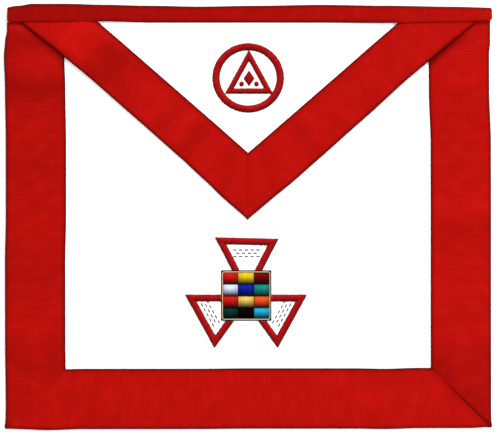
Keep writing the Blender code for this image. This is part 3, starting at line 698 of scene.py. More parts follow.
def side_border(side, name, node_name, seed):
    (out_x, out_y), (in_x, in_y) = corner_seam(side)
    distance, turn, full = border_profile()
    on_front = turn == turn[0, 0]
    butted = MITRE_GAP - SEAM_SLIT if side == LEFT else 0.0
    tucked = on_front & (distance > FOLD_DEPTH + RIBBON)
    top = band_low(side * (HALF_WIDTH - distance)) + np.where(tucked, TUCK, -SEAM_SLIT)
    start = float(top.max())

    def front(x, y):
        height = border_front(x, y) + border_wave(x, y, side * (side_edge(side, y) - x))
        return height + lap_rise(x, y) if side == RIGHT else height

    def drawn(rows):
        seam_x = out_x + (in_x - out_x) * (rows - out_y) / (in_y - out_y)
        limit = side * (side_edge(side, rows) - seam_x) - MITRE_GAP + butted * on_front
        return narrowed(distance, limit, full, FOLD_KEEP)

    def spot(rows, inward):
        joined = between(start - TOP_JOIN, top, np.clip((rows - start + TOP_JOIN) / TOP_JOIN, 0.0, 1.0))
        y = np.where(rows > start - TOP_JOIN, joined, rows)
        return side_edge(side, y) - side * (inward - distance + drawn(rows)), y

    def lay(rows):
        inward = drawn(rows)
        x, y = spot(rows, distance)
        edge = seam_shaded(side, x, y, edge_distance(inward, full))
        return border_lay(-rows, inward, turn, edge, painted_silk_shading(x, y, side))

    rows = fine_rows(start, out_y + MITRE_GAP + GAP)
    skin = folded(spot, distance, turn, front)
    ribbon(name, node_name, rows, skin, lay)
    inset = BORDER_WIDTH - STITCH_INSET
    y = np.linspace(start - 2 * TUCK, out_y + inset + STITCH_INSET, BORDER_STITCHES)
    x = side_edge(side, y) - side * inset
    stitch_line(name + "_stitching", x, y, front(x, y) + RIBBON / 2, seed)


def bottom_border():
    """The bottom ribbon. At the right corner its end laps over the side ribbon."""
    seams = {side: corner_seam(side) for side in (LEFT, RIGHT)}
    left_x, right_x = (seams[side][0][0] for side in (LEFT, RIGHT))
    distance, turn, full = border_profile()
    on_front = turn == turn[0, 0]
    butted = (MITRE_GAP - SEAM_SLIT) * on_front
    overlap = CORNER_OVERLAP * ease((distance - FOLD_DEPTH) / FOLD_KEEP) * on_front

    def room(side, x):
        """Distance in from the bottom edge to the seam at one end."""
        (out_x, out_y), (in_x, in_y) = seams[side]
        return out_y + (in_y - out_y) * (x - out_x) / (in_x - out_x) - bottom_edge(x) - MITRE_GAP

    def front(x, y):
        inward = y - bottom_edge(x)
        lap = 1.0 - ease((room(RIGHT, x) - inward - GAP) / CORNER_RISE)
        height = border_front(x, y) + border_wave(x, y, inward)
        return height + LAYER * lap * ease((inward - FOLD_DEPTH) / FOLD_KEEP)

    def drawn(rows):
        limit = np.minimum(room(LEFT, rows) + butted, room(RIGHT, rows) + overlap)
        return narrowed(distance, limit, full, FOLD_KEEP)

    def spot(rows, inward):
        return rows + 0.0 * inward, bottom_edge(rows) + inward - distance + drawn(rows)

    def lay(rows):
        inward = drawn(rows)
        x, y = spot(rows, distance)
        edge = seam_shaded(RIGHT, x, y, seam_shaded(LEFT, x, y, edge_distance(inward, full)))
        return border_lay(rows, inward, turn, edge, painted_silk_shading(x, y))

    rows = fine_rows(left_x + MITRE_GAP + GAP, right_x - MITRE_GAP - GAP)
    skin = folded(spot, distance, turn, front)
    ribbon("bottom_border", "bottom_ribbon", rows, skin, lay)
    inset = BORDER_WIDTH - STITCH_INSET
    x = np.linspace(left_x + inset + STITCH_INSET, right_x - inset - STITCH_INSET, BORDER_STITCHES)
    y = bottom_edge(x) + inset
    stitch_line("bottom_border_stitching", x, y, front(x, y) + RIBBON / 2, 13)


# The flap
# A triangle of the same leather, with grosgrain along its two slanted edges. The ribbons are turned
# down over the leather's edge, meet in a seam above the tip, and are topstitched inside.
SHOULDER_INSET = 0.0127
SHOULDER_SHIFT = 0.0011
FLAP_DROP = 0.1638
FLAP_RIBBON_WIDTH = 0.042
FLAP_SETTLE = 0.07
FLAP_BOW = 0.0027
FLAP_CORNER = 0.0009
FLAP_SWELL = 0.0006
FLAP_WAVE = 0.0017
FLAP_ROWS = 76
FLAP_COLUMNS = 151
FLAP_STITCHES = 160
FLAP_RIBBON_COLUMNS = 15
FLAP_TURNS = np.linspace(90.0, 0.0, 6)
INNER_BOW = 0.25
LEATHER_INSET = RIBBON + 2 * GAP
SEAM_DIP = 0.0002
SEAM_SIDE = 0.0016
FLAP_SEAM_SHADE = (0.0015, 3.0)

# Waves along the flap's ribbons: distance along from the shoulder, half length, height on the left and
# on the right
FLAP_WAVES = (
    (0.062, 0.026, 1.25, 0.10), (0.100, 0.014, 0.00, 0.12), (0.137, 0.012, 0.22, 0.08),
    (0.166, 0.011, 0.28, 0.12), (0.200, 0.014, 0.12, 0.08),
)

# Inward bow of the flap's outer edges, from the shoulder to the tip: along, left, right
FLAP_EDGES = (
    (0.00, 0.00, 0.00), (0.17, 0.70, 0.45), (0.30, 1.00, 0.60), (0.50, 0.90, 0.10),
    (0.70, 0.75, -0.18), (0.80, 0.43, -0.30), (0.90, 0.00, -0.08), (1.00, 0.00, 0.00),
)

# Soft swells in the flap, given as the panel's are
FLAP_SWELLS = (
    (-0.345, 0.345, 0.070, 0.15, -42.0, 1.0), (-0.190, 0.210, 0.065, 0.13, -42.0, 0.7),
    (0.300, 0.300, 0.080, 0.15, 42.0, 0.5), (0.090, 0.090, 0.080, 0.15, 42.0, 0.5),
)


def over_sides(x):
    """1 where the flap and the waistband pass over a side ribbon, falling to 0 inside it."""
    inward = HALF_WIDTH - np.abs(x) - BORDER_WIDTH - 2 * EDGE_DRIFT
    return 1.0 - ease(inward / FLAP_SETTLE)


def flap_swell(x, y):
    return FLAP_SWELL * swell(FLAP_SWELLS, x, y)


def flap_back(x, y):
    return panel_top(x, y) + GAP + LAYER * over_sides(x) + flap_swell(x, y)


def flap_top(x, y):
    return flap_back(x, y) + LEATHER


def flap_lines(side):
    """A slanted edge of the flap: its start under the waistband, direction, inward side and length."""
    start_x = side * (HALF_WIDTH - SHOULDER_INSET) + SHOULDER_SHIFT
    start_y = float(band_low(start_x))
    tip_y = float(band_low(0.0)) - FLAP_DROP
    length = math.hypot(-start_x, tip_y - start_y)
    run_x, run_y = -start_x / length, (tip_y - start_y) / length
    return (start_x, start_y), (run_x, run_y), (side * run_y, -side * run_x), length


def flap_spot(side, run, inward):
    """A point of the flap, at a run along its slanted edge and a distance in from it."""
    (start_x, start_y), (run_x, run_y), (in_x, in_y), length = flap_lines(side)
    bow = FLAP_BOW * from_table(FLAP_EDGES, run / length, 1 if side == LEFT else 2)
    inward = inward + bow * between(1.0, INNER_BOW, inward / FLAP_RIBBON_WIDTH)
    return start_x + run_x * run + in_x * inward, start_y + run_y * run + in_y * inward


def flap_wave(side, run, inward):
    """How far the waves lift a flap ribbon off the leather between its edges."""
    height = 0.0 * run
    for middle, half_length, left, right in FLAP_WAVES:
        height = height + (left if side == LEFT else right) * np.exp(-(((run - middle) / half_length) ** 2))
    return FLAP_WAVE * height * ease(inward / WAVE_FADE) * ease((FLAP_RIBBON_WIDTH - inward) / WAVE_FADE)


def flap_ends(side, inward, cut):
    """The runs at which a line along the flap comes out of the tuck and meets the middle seam."""
    (start_x, _), (run_x, run_y), (in_x, in_y), _ = flap_lines(side)
    return (TUCK - in_y * inward) / run_y, (side * cut - start_x - in_x * inward) / run_x


# The borders under the flap come first. Their waves end beside it.
side_border(LEFT, "left_border", "side_ribbon_left", 11)
side_border(RIGHT, "right_border", "side_ribbon_right", 12)
bottom_border()

flap_rows = np.linspace(0.0, 1.0, FLAP_ROWS)[:, None]
flap_columns = np.linspace(0.0, 1.0, FLAP_COLUMNS)[None, :]
flap_sides = []
for side in (LEFT, RIGHT):
    ends = flap_ends(side, LEATHER_INSET, LEATHER_INSET)
    flap_sides.append(flap_spot(side, between(*ends, flap_rows), LEATHER_INSET))
flap_x, flap_y = [between(left, right, flap_columns) for left, right in zip(*flap_sides)]
flap_skins = [points(flap_x, flap_y, height(flap_x, flap_y)) for height in (flap_top, flap_back)]
flap_leather = placed("flap_leather", closed_sheet("flap_leather", *flap_skins), leather_finish)
on_root(flap_leather, "white_leather", "flap_panel")


def flap_border(side, name, node_name, seed):
    middle = LEATHER + GAP + RIBBON / 2
    turns = np.radians(FLAP_TURNS)
    keep = RIBBON / 2 + FLAP_CORNER
    front = np.linspace(FLAP_RIBBON_WIDTH, keep, FLAP_RIBBON_COLUMNS)[:-1]
    distance = np.concatenate([front, keep - FLAP_CORNER * np.cos(turns), [RIBBON / 2]])[None, :]
    rise = np.concatenate([np.full(len(front), middle), middle - FLAP_CORNER * (1.0 - np.sin(turns)), [0.0]])
    turn = np.concatenate([np.full(len(front), turns[0]), turns, turns[-1:]])[None, :]
    _, (run_x, run_y), (in_x, in_y), _ = flap_lines(side)
    first, last = flap_ends(side, 0.0, 0.0)

    def drawn(rows):
        limit = np.minimum((first - rows) * run_y / in_y, (last - rows) * run_x / in_x)
        return narrowed(distance, limit, FLAP_RIBBON_WIDTH, keep)

    def lay(rows):
        inward = drawn(rows)
        start, growth = FLAP_SEAM_SHADE
        from_seam = start + growth * np.abs(flap_spot(side, rows, inward)[0])
        # Painted light and shade by the slope of the flap ribbon's waves, stored as its tone
        slope = flap_wave(side, rows + SLOPE_STEP, inward) - flap_wave(side, rows - SLOPE_STEP, inward)
        edge = np.minimum(edge_distance(inward, FLAP_RIBBON_WIDTH), from_seam)
        return rows, inward, edge, 1.0 + PAINTED_SILK_SHEEN * slope / (2 * SLOPE_STEP)

    def skin(half, rows):
        inward = drawn(rows) - half * np.cos(turn)
        x, y = flap_spot(side, rows, inward)
        on_front = np.sin(turn) * (distance > keep)
        seam = SEAM_DIP * (1.0 - ease(np.abs(x) / SEAM_SIDE))
        waved = on_front * (flap_wave(side, rows, inward) - seam)
        return points(x, y, flap_back(x, y) + rise + waved + half * np.sin(turn))

    ribbon(name, node_name, fine_rows(first, last), skin, lay)
    inset = FLAP_RIBBON_WIDTH - STITCH_INSET
    first_stitch, last_stitch = flap_ends(side, inset, STITCH_INSET)
    x, y = flap_spot(side, np.linspace(first_stitch + 2 * TUCK, last_stitch, FLAP_STITCHES), inset)
    stitch_line(name + "_stitching", x, y, flap_back(x, y) + middle + RIBBON / 2, seed)


flap_border(LEFT, "flap_left_border", "flap_ribbon_left", 21)
flap_border(RIGHT, "flap_right_border", "flap_ribbon_right", 22)

# The waistband
# Grosgrain folded over the top edge, with closed ends. It covers the tops of the side ribbons and of
# the flap, and two rows of stitching along its lower edge hold them all.
BAND_END_DRIFT = {LEFT: 0.89, RIGHT: 0.0}
BAND_STITCH_ROWS = (0.0014, 0.0038)
BAND_STITCHES = 400
BAND_END_FALL = 0.5
BAND_ROUNDING = {LEFT: 0.0018, RIGHT: 0.0028}
BAND_COLUMNS = np.linspace(1.0, 0.03, 17)
ROWS_TO_A_BAND_LINING_ROW = 8

# The band's painted light rises to the right. From BAND_OPEN outwards its edge is over red, and
# its painted edge shade is lighter.
BAND_PAINTED_LIGHT = 0.93
BAND_PAINTED_LIGHT_RISE = 0.33
BAND_OPEN = 0.122
BAND_SOFTER = 0.0012


def band_end(side):
    return side * (HALF_WIDTH - EDGE_DRIFT * BAND_END_DRIFT[side])


def flap_line_end(side, inward):
    """X at which a line along the flap's edge comes out of the tuck."""
    return float(flap_spot(side, flap_ends(side, inward, 0.0)[0], inward)[0])


band_corners = {side: abs(flap_line_end(side, 0.0)) + LAYER + GAP for side in (LEFT, RIGHT)}
band_inner = min(abs(flap_line_end(side, FLAP_RIBBON_WIDTH)) for side in (LEFT, RIGHT)) - 2 * TUCK


def band_front(x, y):
    """Height of the middle of the waistband's front layer, over all that lies under it."""
    corner_x = np.where(x < 0.0, band_corners[LEFT], band_corners[RIGHT])
    reach = np.where(x < 0.0, -band_end(LEFT), band_end(RIGHT)) - RIBBON
    over_flap = 1.0 - BAND_END_FALL * ease((np.abs(x) - corner_x) / (reach - corner_x))
    over_ribbon = 1.0 - ease((band_inner - np.abs(x)) / (SETTLE + TUCK))
    flap = LEATHER + GAP + LAYER * over_ribbon + flap_swell(x, y)
    return border_front(x, y) + LAYER * over_sides(x) + flap * over_flap


def waistband():
    front = FOLD_DEPTH + (BAND_HEIGHT - FOLD_DEPTH) * BAND_COLUMNS
    distance = np.concatenate([front, fold_distances(), front[::-1]])[None, :]
    turns = [np.full(len(front), 90.0), FOLD_TURNS, np.full(len(front), -90.0)]
    turn = np.radians(np.concatenate(turns))[None, :]
    left, right = band_end(LEFT), band_end(RIGHT)
    rounded = {}
    for side, radius in BAND_ROUNDING.items():
        short = np.clip(1.0 - np.minimum(distance, BAND_HEIGHT - distance) / radius, 0.0, 1.0)
        rounded[side] = radius * (1.0 - np.sqrt(1.0 - short**2))

    def skin(half, rows):
        wall = RIBBON if half < 0 else 0.0
        first, last = left + wall + rounded[LEFT], right - wall - rounded[RIGHT]
        x = between(first, last, (rows - left) / (right - left))

        def spot(rows, inward):
            top, below = band_top(x), np.maximum(inward - FOLD_DEPTH, 0.0)
            stretch = (top - FOLD_DEPTH - band_low(x)) / (BAND_HEIGHT - FOLD_DEPTH)
            return x + 0.0 * inward, top - np.minimum(inward, FOLD_DEPTH) - below * stretch

        return folded(spot, distance, turn, band_front)(half, rows)

    # Painted shade at the band's edges, less over red, and painted light that rises to the right
    def lay(rows):
        across, edge = np.where(turn > 0.0, distance, -distance), edge_distance(distance, BAND_HEIGHT)
        softer = ease((np.abs(rows) - BAND_OPEN) / WAVE_FADE) * (distance > BAND_HEIGHT / 2)
        return rows, across, edge + BAND_SOFTER * softer, BAND_PAINTED_LIGHT + BAND_PAINTED_LIGHT_RISE * rows / APRON_WIDTH

    ribbon(
        "folded_waistband", "waistband", fine_rows(left, right, ROWS_TO_A_BAND_LINING_ROW), skin, lay,
        material=band_ribbon_finish, lining_step=ROWS_TO_A_BAND_LINING_ROW, walled=True,
    )
    x = np.linspace(left + 3 * RIBBON, right - 3 * RIBBON, BAND_STITCHES)
    for row, above in enumerate(BAND_STITCH_ROWS, 1):
        y = band_low(x) + above
        stitch_line(f"waistband_stitching_{row}", x, y, band_front(x, y) + RIBBON / 2, 30 + row)


waistband()

# The flap's embroidery
# A ring with a triangle in it, and a lozenge over two dots, all in raised red satin stitch: threads
# laid side by side over padding.
SATIN = 0.0016
BAR_EDGE = 0.2
BAR_FULLNESS = 2.2
RING_DIAMETER = 0.0584
RING_BAR = 0.0058
RING_SHIFT = 0.0004
RING_RAISE = 0.0005
RING_OVAL = (1.018, 0.986)
RING_STEPS = 96
TRIANGLE_BAR = 0.0043
TRIANGLE_SHIFT = 0.0007
TRIANGLE_TURNS = (90.0, 214.0, 326.0)
LOZENGE_WIDTH = 0.009
LOZENGE_HEIGHT = 0.013
DOT_DIAMETER = 0.0038
DOT_SPACING = 0.0124
SPOT_HEIGHT = 0.0009
SPOT_SIDE = 0.55
SPOT_PADDING = 0.9
THREAD = 0.00021
THREAD_PITCH = 0.00038
THREAD_POINTS = 8
THREAD_CREASE = math.radians(75.0)
STRAY = 0.0002
THREAD_END = 0.3
PADDING_SHARE = 0.8
PADDING_SPAN = (0.06, 0.94)
PADDING_COLUMNS = 7
GLEAM_FULL = 0.3
RED_SATIN = ((0.19, 0.0014, 0.0018), (0.27, 0.0045, 0.0055))

# Painted shade along a thread's run, darkest at its ends where it goes down into the cloth: place,
# share of its colour
BAR_PAINTED_SHADE = ((0.0, 0.1), (0.12, 0.55), (0.26, 1.0), (0.74, 1.0), (0.88, 0.55), (1.0, 0.1))

# Painted light and shade on satin: lighter where it slopes up towards the lamp and darker where
# it slopes away
PAINTED_SATIN_SHEEN = 1.7
SATIN_BRIGHTEST = 1.3

needle = np.random.default_rng(5)


def stored(tree, geometry, name, value, domain="POINT"):
    feeds = {"Geometry": geometry, "Name": name, "Value": value}
    return node(tree, "GeometryNodeStoreNamedAttribute", feeds, data_type="FLOAT", domain=domain)


thread_inputs = {"Thread radius": "Float", "Thread sides": "Int", "Unevenness": "Float", "Seed": "Int"}
thread_tree, given, result = geometry_tree("laid_threads", thread_inputs)
neighbours = node(thread_tree, "GeometryNodeInputMeshEdgeNeighbors")
loose = node(thread_tree, "FunctionNodeCompare", {2: neighbours, 3: 0}, data_type="INT", operation="EQUAL")
parting = {"Geometry": given["Geometry"], "Selection": loose}
split = node(thread_tree, "GeometryNodeSeparateGeometry", parting, domain="EDGE")
paths = node(thread_tree, "GeometryNodeMeshToCurve", {"Mesh": split.outputs["Selection"]})
chance = node(thread_tree, "FunctionNodeRandomValue", {"Seed": given["Seed"]}, data_type="FLOAT").outputs[1]
shaded = stored(thread_tree, paths, "shade", chance, "CURVE")
measured = stored(thread_tree, shaded, "run", node(thread_tree, "GeometryNodeSplineParameter"))
# Painted light and shade of each thread by its slope, times the painted side shade in its level
heading = node(thread_tree, "ShaderNodeSeparateXYZ", {0: node(thread_tree, "GeometryNodeInputTangent")})
slope = maths(thread_tree, "MULTIPLY", heading.outputs["Y"], heading.outputs["Z"])
sheen = maths(thread_tree, "MULTIPLY_ADD", slope, -PAINTED_SATIN_SHEEN, 1.0)
brightest = maths(thread_tree, "MINIMUM", sheen, SATIN_BRIGHTEST)
tone = maths(thread_tree, "MULTIPLY", brightest, stored_value(thread_tree, "level"))
measured = stored(thread_tree, measured, "tone", tone)
swing = maths(thread_tree, "SUBTRACT", stored_value(thread_tree, "shade"), 0.5)
stout = maths(thread_tree, "MULTIPLY_ADD", swing, given["Unevenness"], 1.0)
rounded = node(thread_tree, "GeometryNodeSetCurveRadius", {"Curve": measured, "Radius": stout})
circle = {"Resolution": given["Thread sides"], "Radius": given["Thread radius"]}
section = node(thread_tree, "GeometryNodeCurvePrimitiveCircle", circle).outputs["Curve"]
sweep = {"Curve": rounded, "Profile Curve": section, "Fill Caps": True}
swept = node(thread_tree, "GeometryNodeCurveToMesh", sweep)
smooth = node(thread_tree, "GeometryNodeSetShadeSmooth", {"Geometry": swept})
joined = node(thread_tree, "GeometryNodeJoinGeometry", {0: smooth})
thread_tree.links.new(split.outputs["Inverted"], joined.inputs[0])
ended(thread_tree, given, result, joined)


def satin_finish(name, dark, light, run_levels=BAR_PAINTED_SHADE):
    """Satin thread in one colour, each thread a little lighter or darker than the next, with painted
    shade along its run, as where its ends go down into the cloth, and the painted light and shade
    stored at its points. Dark threads gleam less."""
    tint = [between(0.04, 1.0, part / max(light)) for part in light]
    gleam = min(max(light) / GLEAM_FULL, 1.0)
    material, tree, shader = finish(name, 0.42, 0.35 * gleam, tint, 0.04 * gleam)
    plain = ramp(tree, surface_value(tree, "shade"), (0.0, dark), (1.0, light))
    shown(tree, shader, toned(tree, plain, surface_value(tree, "run"), run_levels))
    return material


def embroidered(
    name, padding, threads, material, seed, radius=THREAD, sides=6, uneven=0.25, closed=False, levels=None
):
    """A piece of embroidery: its padding, if it has any, and a thread along each row of points.
    levels is the share of its colour that each thread shows as painted shade, where it isn't the whole."""
    work = bmesh.new()
    if padding:
        work.from_mesh(padding)
    level_layer = work.verts.layers.float.new("level")
    for thread, level in zip(threads, levels or [1.0] * len(threads)):
        bends = [work.verts.new(bend) for bend in thread]
        for bend in bends:
            bend[level_layer] = level
        for pair in zip(bends, bends[1:] + bends[:1] if closed else bends[1:]):
            work.edges.new(pair)
    mesh = bpy.data.meshes.new(name)
    work.to_mesh(mesh)
    work.free()
    inputs = {"Thread radius": radius, "Thread sides": sides, "Unevenness": uneven, "Seed": seed}
    piece = grown(name, mesh, thread_tree, {**inputs, "Finish": material})
    piece.data.set_sharp_from_angle(angle=THREAD_CREASE)
    return piece


def dome(part, edge):
    """Height of a satin bar at a share of the way across it, from edge to 1 and back."""
    crown = np.sqrt(1.0 - np.abs(2.0 * np.clip(part, 0.0, 1.0) - 1.0) ** BAR_FULLNESS)
    return between(edge, 1.0, crown)


def cosine_steps(count):
    """Shares from 0 to 1, closer together at both ends."""
    return (1.0 - np.cos(np.linspace(0.0, math.pi, count))) / 2


def laid_thread(start, end, part_range, surface, edge=BAR_EDGE, height=SATIN):
    """Points of a thread over a padded bar, from one place to another, with its ends pulled down.
    part_range is the share of the bar's width that it spans."""
    steps = cosine_steps(THREAD_POINTS)
    x, y = between(start[0], end[0], steps), between(start[1], end[1], steps)
    rise = height * dome(between(*part_range, steps), edge)
    rise[[0, -1]] = THREAD_END * THREAD
    return points(x, y, surface(x, y) + GAP + rise - 0.5 * THREAD)


def padding(name, x, y, bed, rise, ring=True):
    """The padding under satin stitch: a closed form on its bed, at a share of the stitch's height."""
    top = points(x, y, bed + PADDING_SHARE * rise)
    return closed_sheet(f"{name}_padding", top, points(x, y, bed + 0.0 * rise), ring=ring)


def padding_loop(name, pairs, surface):
    """The padding under a closed bar, between pairs of outer and inner points."""
    across = np.linspace(*PADDING_SPAN, PADDING_COLUMNS)[None, :, None]
    outer, inner = (np.array(side)[:, None, :] for side in zip(*pairs))
    x, y = np.moveaxis(between(outer, inner, across), -1, 0)
    return padding(name, x, y, surface(x, y) + 0.5 * GAP, SATIN * dome(across[..., 0], BAR_EDGE))


def bar_threads(outer, inner, surface, hidden=None):
    """Threads across one straight bar with slanted ends, given by its outer and inner edge lines.
    None is laid where hidden says that another piece covers it."""
    (start, end), (inner_start, inner_end) = np.array(outer), np.array(inner)
    length = math.dist(start, end)
    along = (end - start) / length
    inward = np.array([-along[1], along[0]])
    if np.dot(inner_start - start, inward) < 0:
        inward = -inward
    width = float(np.dot(inner_start - start, inward))
    lead, trail = np.dot(inner_start - start, along), np.dot(end - inner_end, along)
    steps = np.linspace(0.0, 1.0, 60)[:, None]
    threads = []
    for at in np.arange(THREAD_PITCH / 2, length, THREAD_PITCH):
        reach = min(width, at * width / lead, (length - at) * width / trail)
        if reach < THREAD:
            continue
        stray = needle.uniform(-STRAY, STRAY, 2)
        first, last = start + along * at, start + along * at + inward * reach
        if hidden:
            shown_steps = steps[~hidden(*between(first, last, steps).T), 0]
            if len(shown_steps) < 5:
                continue
            last = between(first, last, shown_steps[-1])
            first = between(first, last, shown_steps[0] / shown_steps[-1])
        parts = [np.dot(place - start, inward) / width for place in (first, last)]
        threads.append(laid_thread(first - inward * stray[0], last + inward * stray[1], parts, surface))
    return threads


def mitred(corners, bar):
    """Pairs of outer and inner corners of a bar that follows a triangle."""
    pairs = []
    for index, here in enumerate(corners):
        directions = []
        for other in (corners[index - 1], corners[(index + 1) % 3]):
            length = math.dist(here, other)
            directions.append([(b - a) / length for a, b in zip(here, other)])
        inward = [a + b for a, b in zip(*directions)]
        half_turn = math.acos(sum(a * b for a, b in zip(*directions))) / 2
        reach = bar / math.sin(half_turn) / math.hypot(*inward)
        pairs.append((here, [a + b * reach for a, b in zip(here, inward)]))
    return pairs


def triangle_threads(pairs, surface, hidden=None):
    threads = []
    for (outer, inner), (next_outer, next_inner) in zip(pairs, pairs[1:] + pairs[:1]):
        threads += bar_threads((outer, next_outer), (inner, next_inner), surface, hidden)
    return threads


def ring_middle():
    """Middle of the circle that fits in the flap's white triangle."""
    (left_x, left_y), (inner_x, inner_y) = (
        flap_spot(LEFT, run, FLAP_RIBBON_WIDTH) for run in flap_ends(LEFT, FLAP_RIBBON_WIDTH, 0.0)
    )
    slant = math.atan2(left_y - inner_y, inner_x - left_x)
    top_y = float(band_low(0.0))
    return RING_SHIFT, RING_RAISE + top_y - (top_y - inner_y) * math.cos(slant) / (1.0 + math.cos(slant))


red_satin_finish = satin_finish("red_satin_finish", *RED_SATIN)
ring_x, ring_y = ring_middle()


def ring_point(radius, turn):
    out_x, out_y = RING_OVAL[0] * math.cos(turn), RING_OVAL[1] * math.sin(turn)
    return np.array([ring_x + radius * out_x, ring_y + radius * out_y])


ring_outer, ring_inner = RING_DIAMETER / 2, RING_DIAMETER / 2 - RING_BAR
ring_turns = np.linspace(0.0, 2 * math.pi, RING_STEPS + 1)[:-1]
ring_pairs = [[ring_point(radius, turn) for radius in (ring_outer, ring_inner)] for turn in ring_turns]
ring_threads = []
for turn in np.arange(0.0, 2 * math.pi, THREAD_PITCH / (ring_outer - RING_BAR / 3)):
    stray = needle.uniform(-STRAY, STRAY, 2)
    ends = [ring_point(radius, turn) for radius in (ring_outer + stray[0], ring_inner + stray[1])]
    ring_threads.append(laid_thread(*ends, (0.0, 1.0), flap_top))
ring_padding = padding_loop("ring", ring_pairs, flap_top)
satin_ring = embroidered("satin_ring", ring_padding, ring_threads, red_satin_finish, 41)
on_root(satin_ring, "red_thread", "flap_ring")

triangle_corners = [
    ring_point(ring_inner + GAP, math.radians(turn)) + (TRIANGLE_SHIFT, 0.0) for turn in TRIANGLE_TURNS
]
triangle_pairs = mitred(triangle_corners, TRIANGLE_BAR)
triangle_padding = padding_loop("triangle", triangle_pairs, flap_top)
bars = triangle_threads(triangle_pairs, flap_top)
flap_triangle = embroidered("satin_triangle", triangle_padding, bars, red_satin_finish, 42)
on_root(flap_triangle, "red_thread", "flap_triangle")


def satin_spot(name, middle, width, height, half_height_at, node_name, seed):
    """A raised spot of upright threads. half_height_at gives its half height, as a share, at a place
    across it from -1 to 1."""
    threads, rim = [], []
    for across in np.arange(-1.0 + 2 * THREAD / width, 1.0, 2 * THREAD_PITCH / width):
        half = half_height_at(across) * height / 2 + THREAD / 2
        x = middle[0] + across * width / 2
        crown = SPOT_HEIGHT * between(SPOT_SIDE, 1.0, half_height_at(across))
        ends = [(x, middle[1] + half), (x, middle[1] - half)]
        threads.append(laid_thread(*ends, (0.0, 1.0), flap_top, height=crown))
    for turn in np.linspace(0.0, 2 * math.pi, 33)[:-1]:
        across, upward = SPOT_PADDING * math.cos(turn), math.sin(turn)
        up = math.copysign(SPOT_PADDING * half_height_at(across), upward) if abs(upward) > 0.01 else 0.0
        rim.append((across * width / 2, up * height / 2))
    shrink = np.linspace(1.0, 0.05, 5)[None, :, None]
    x, y = np.moveaxis(np.array(middle) + np.array(rim)[:, None, :] * shrink, -1, 0)
    rise = SPOT_HEIGHT * np.sqrt(np.clip(1.0 - shrink[..., 0] ** 2, 0.1, 1.0))
    bed = padding(name, x, y, flap_top(x, y) + 0.5 * GAP, rise)
    on_root(embroidered(name, bed, threads, red_satin_finish, seed), "red_thread", node_name)


def round_spot(across):
    return math.sqrt(max(1.0 - across * across, 0.0))


def lozenge_spot(across):
    return 1.0 - abs(across)


motif_x, motif_base = triangle_corners[0][0], triangle_corners[1][1] + TRIANGLE_BAR
for side, place in ((LEFT, "left"), (RIGHT, "right")):
    dot_middle = (motif_x + side * DOT_SPACING / 2, motif_base + DOT_DIAMETER)
    dot_size = (DOT_DIAMETER, DOT_DIAMETER)
    satin_spot(f"satin_dot_{place}", dot_middle, *dot_size, round_spot, f"flap_dot_{place}", 43)
lozenge_middle = (motif_x, motif_base + DOT_DIAMETER / 2 + LOZENGE_HEIGHT / 2)
satin_spot("satin_lozenge", lozenge_middle, LOZENGE_WIDTH, LOZENGE_HEIGHT, lozenge_spot, "flap_lozenge", 44)

# The emblem's frames
# Three triangles of the same red satin stitch round the plate, which covers their inner corners.
# Short running stitches of grey thread stand in the outer part of each.
FRAME_REACH = 0.0511
FRAME_BAR = 0.0056
EMBLEM_SHIFT = -0.0012
EMBLEM_PLACE = 0.5
PLATE_SIDE = 0.042
CUTTER_HEIGHT = 0.02
DASH_LENGTH = 0.0030
DASH_SPACE = (0.0048, 0.0027)
DASH_ROWS = 3
DASH_COLUMNS = 5
DASH_THREAD = 0.0006
DASH_RISE = 0.0002
GREY_THREAD = ((0.06, 0.055, 0.06), (0.12, 0.11, 0.12))
EVEN_LEVELS = ((0.0, 1.0), (1.0, 1.0))

# Outer corners of the triangle frames round the plate's middle, as shares of their reach
FRAME_CORNERS = {
    "top": ((-0.511, 0.949), (0.526, 0.924), (0.016, -0.063)),
    "left": ((-1.000, 0.014), (-0.517, -0.855), (0.106, 0.014)),
    "right": ((0.990, 0.014), (0.513, -0.855), (-0.112, 0.014)),
}

# Middle of each frame's patch of grey stitches, as shares of the reach, and its turn in degrees
DASH_PATCHES = {"top": (0.005, 0.690, 0.0), "left": (-0.585, -0.290, -61.0), "right": (0.580, -0.290, 61.0)}


def emblem_middle():
    """The plate's middle: the frames share the space between the flap's tip and the bottom ribbon."""
    above = FRAME_REACH * max(y for _, y in FRAME_CORNERS["top"])
    below = -FRAME_REACH * min(y for _, y in FRAME_CORNERS["left"])
    tip_y = float(band_low(0.0)) - FLAP_DROP
    free = tip_y - (BORDER_WIDTH + EDGE_DRIFT - HALF_LENGTH) - above - below
    return EMBLEM_SHIFT, tip_y - free * EMBLEM_PLACE - above


emblem_x, emblem_y = emblem_middle()
covered_half = PLATE_SIDE / 2 + GAP


def under_plate(x, y):
    return (np.abs(x - emblem_x) < covered_half) & (np.abs(y - emblem_y) < covered_half)


def turned_about(middle, turn, x, y):
    """A place beside a middle, turned round it."""
    return middle[0] + x * np.cos(turn) - y * np.sin(turn), middle[1] + x * np.sin(turn) + y * np.cos(turn)


def cube(size, middle):
    """A cube in a working mesh, stretched to a size about a middle."""
    work = bmesh.new()
    bmesh.ops.create_cube(work, size=1.0)
    for vertex in work.verts:
        vertex.co = [at + vertex.co[axis] * size[axis] for axis, at in enumerate(middle)]
    return work


def trimmed_by_plate(mesh):
    """A frame's padding with what the plate covers cut away."""
    block = cube((2 * covered_half, 2 * covered_half, CUTTER_HEIGHT), (emblem_x, emblem_y, 0.0))
    cutter_mesh = bpy.data.meshes.new("plate_cutter")
    block.to_mesh(cutter_mesh)
    block.free()
    cutter, whole = placed("plate_cutter", cutter_mesh), placed("trimmed_padding", mesh)
    trim = whole.modifiers.new("trim", "BOOLEAN")
    trim.object = cutter
    trim.operation = "DIFFERENCE"
    depsgraph = bpy.context.evaluated_depsgraph_get()
    result = bpy.data.meshes.new_from_object(whole.evaluated_get(depsgraph), depsgraph=depsgraph)
    for spent in (whole, cutter):
        bpy.data.objects.remove(spent)
    return result


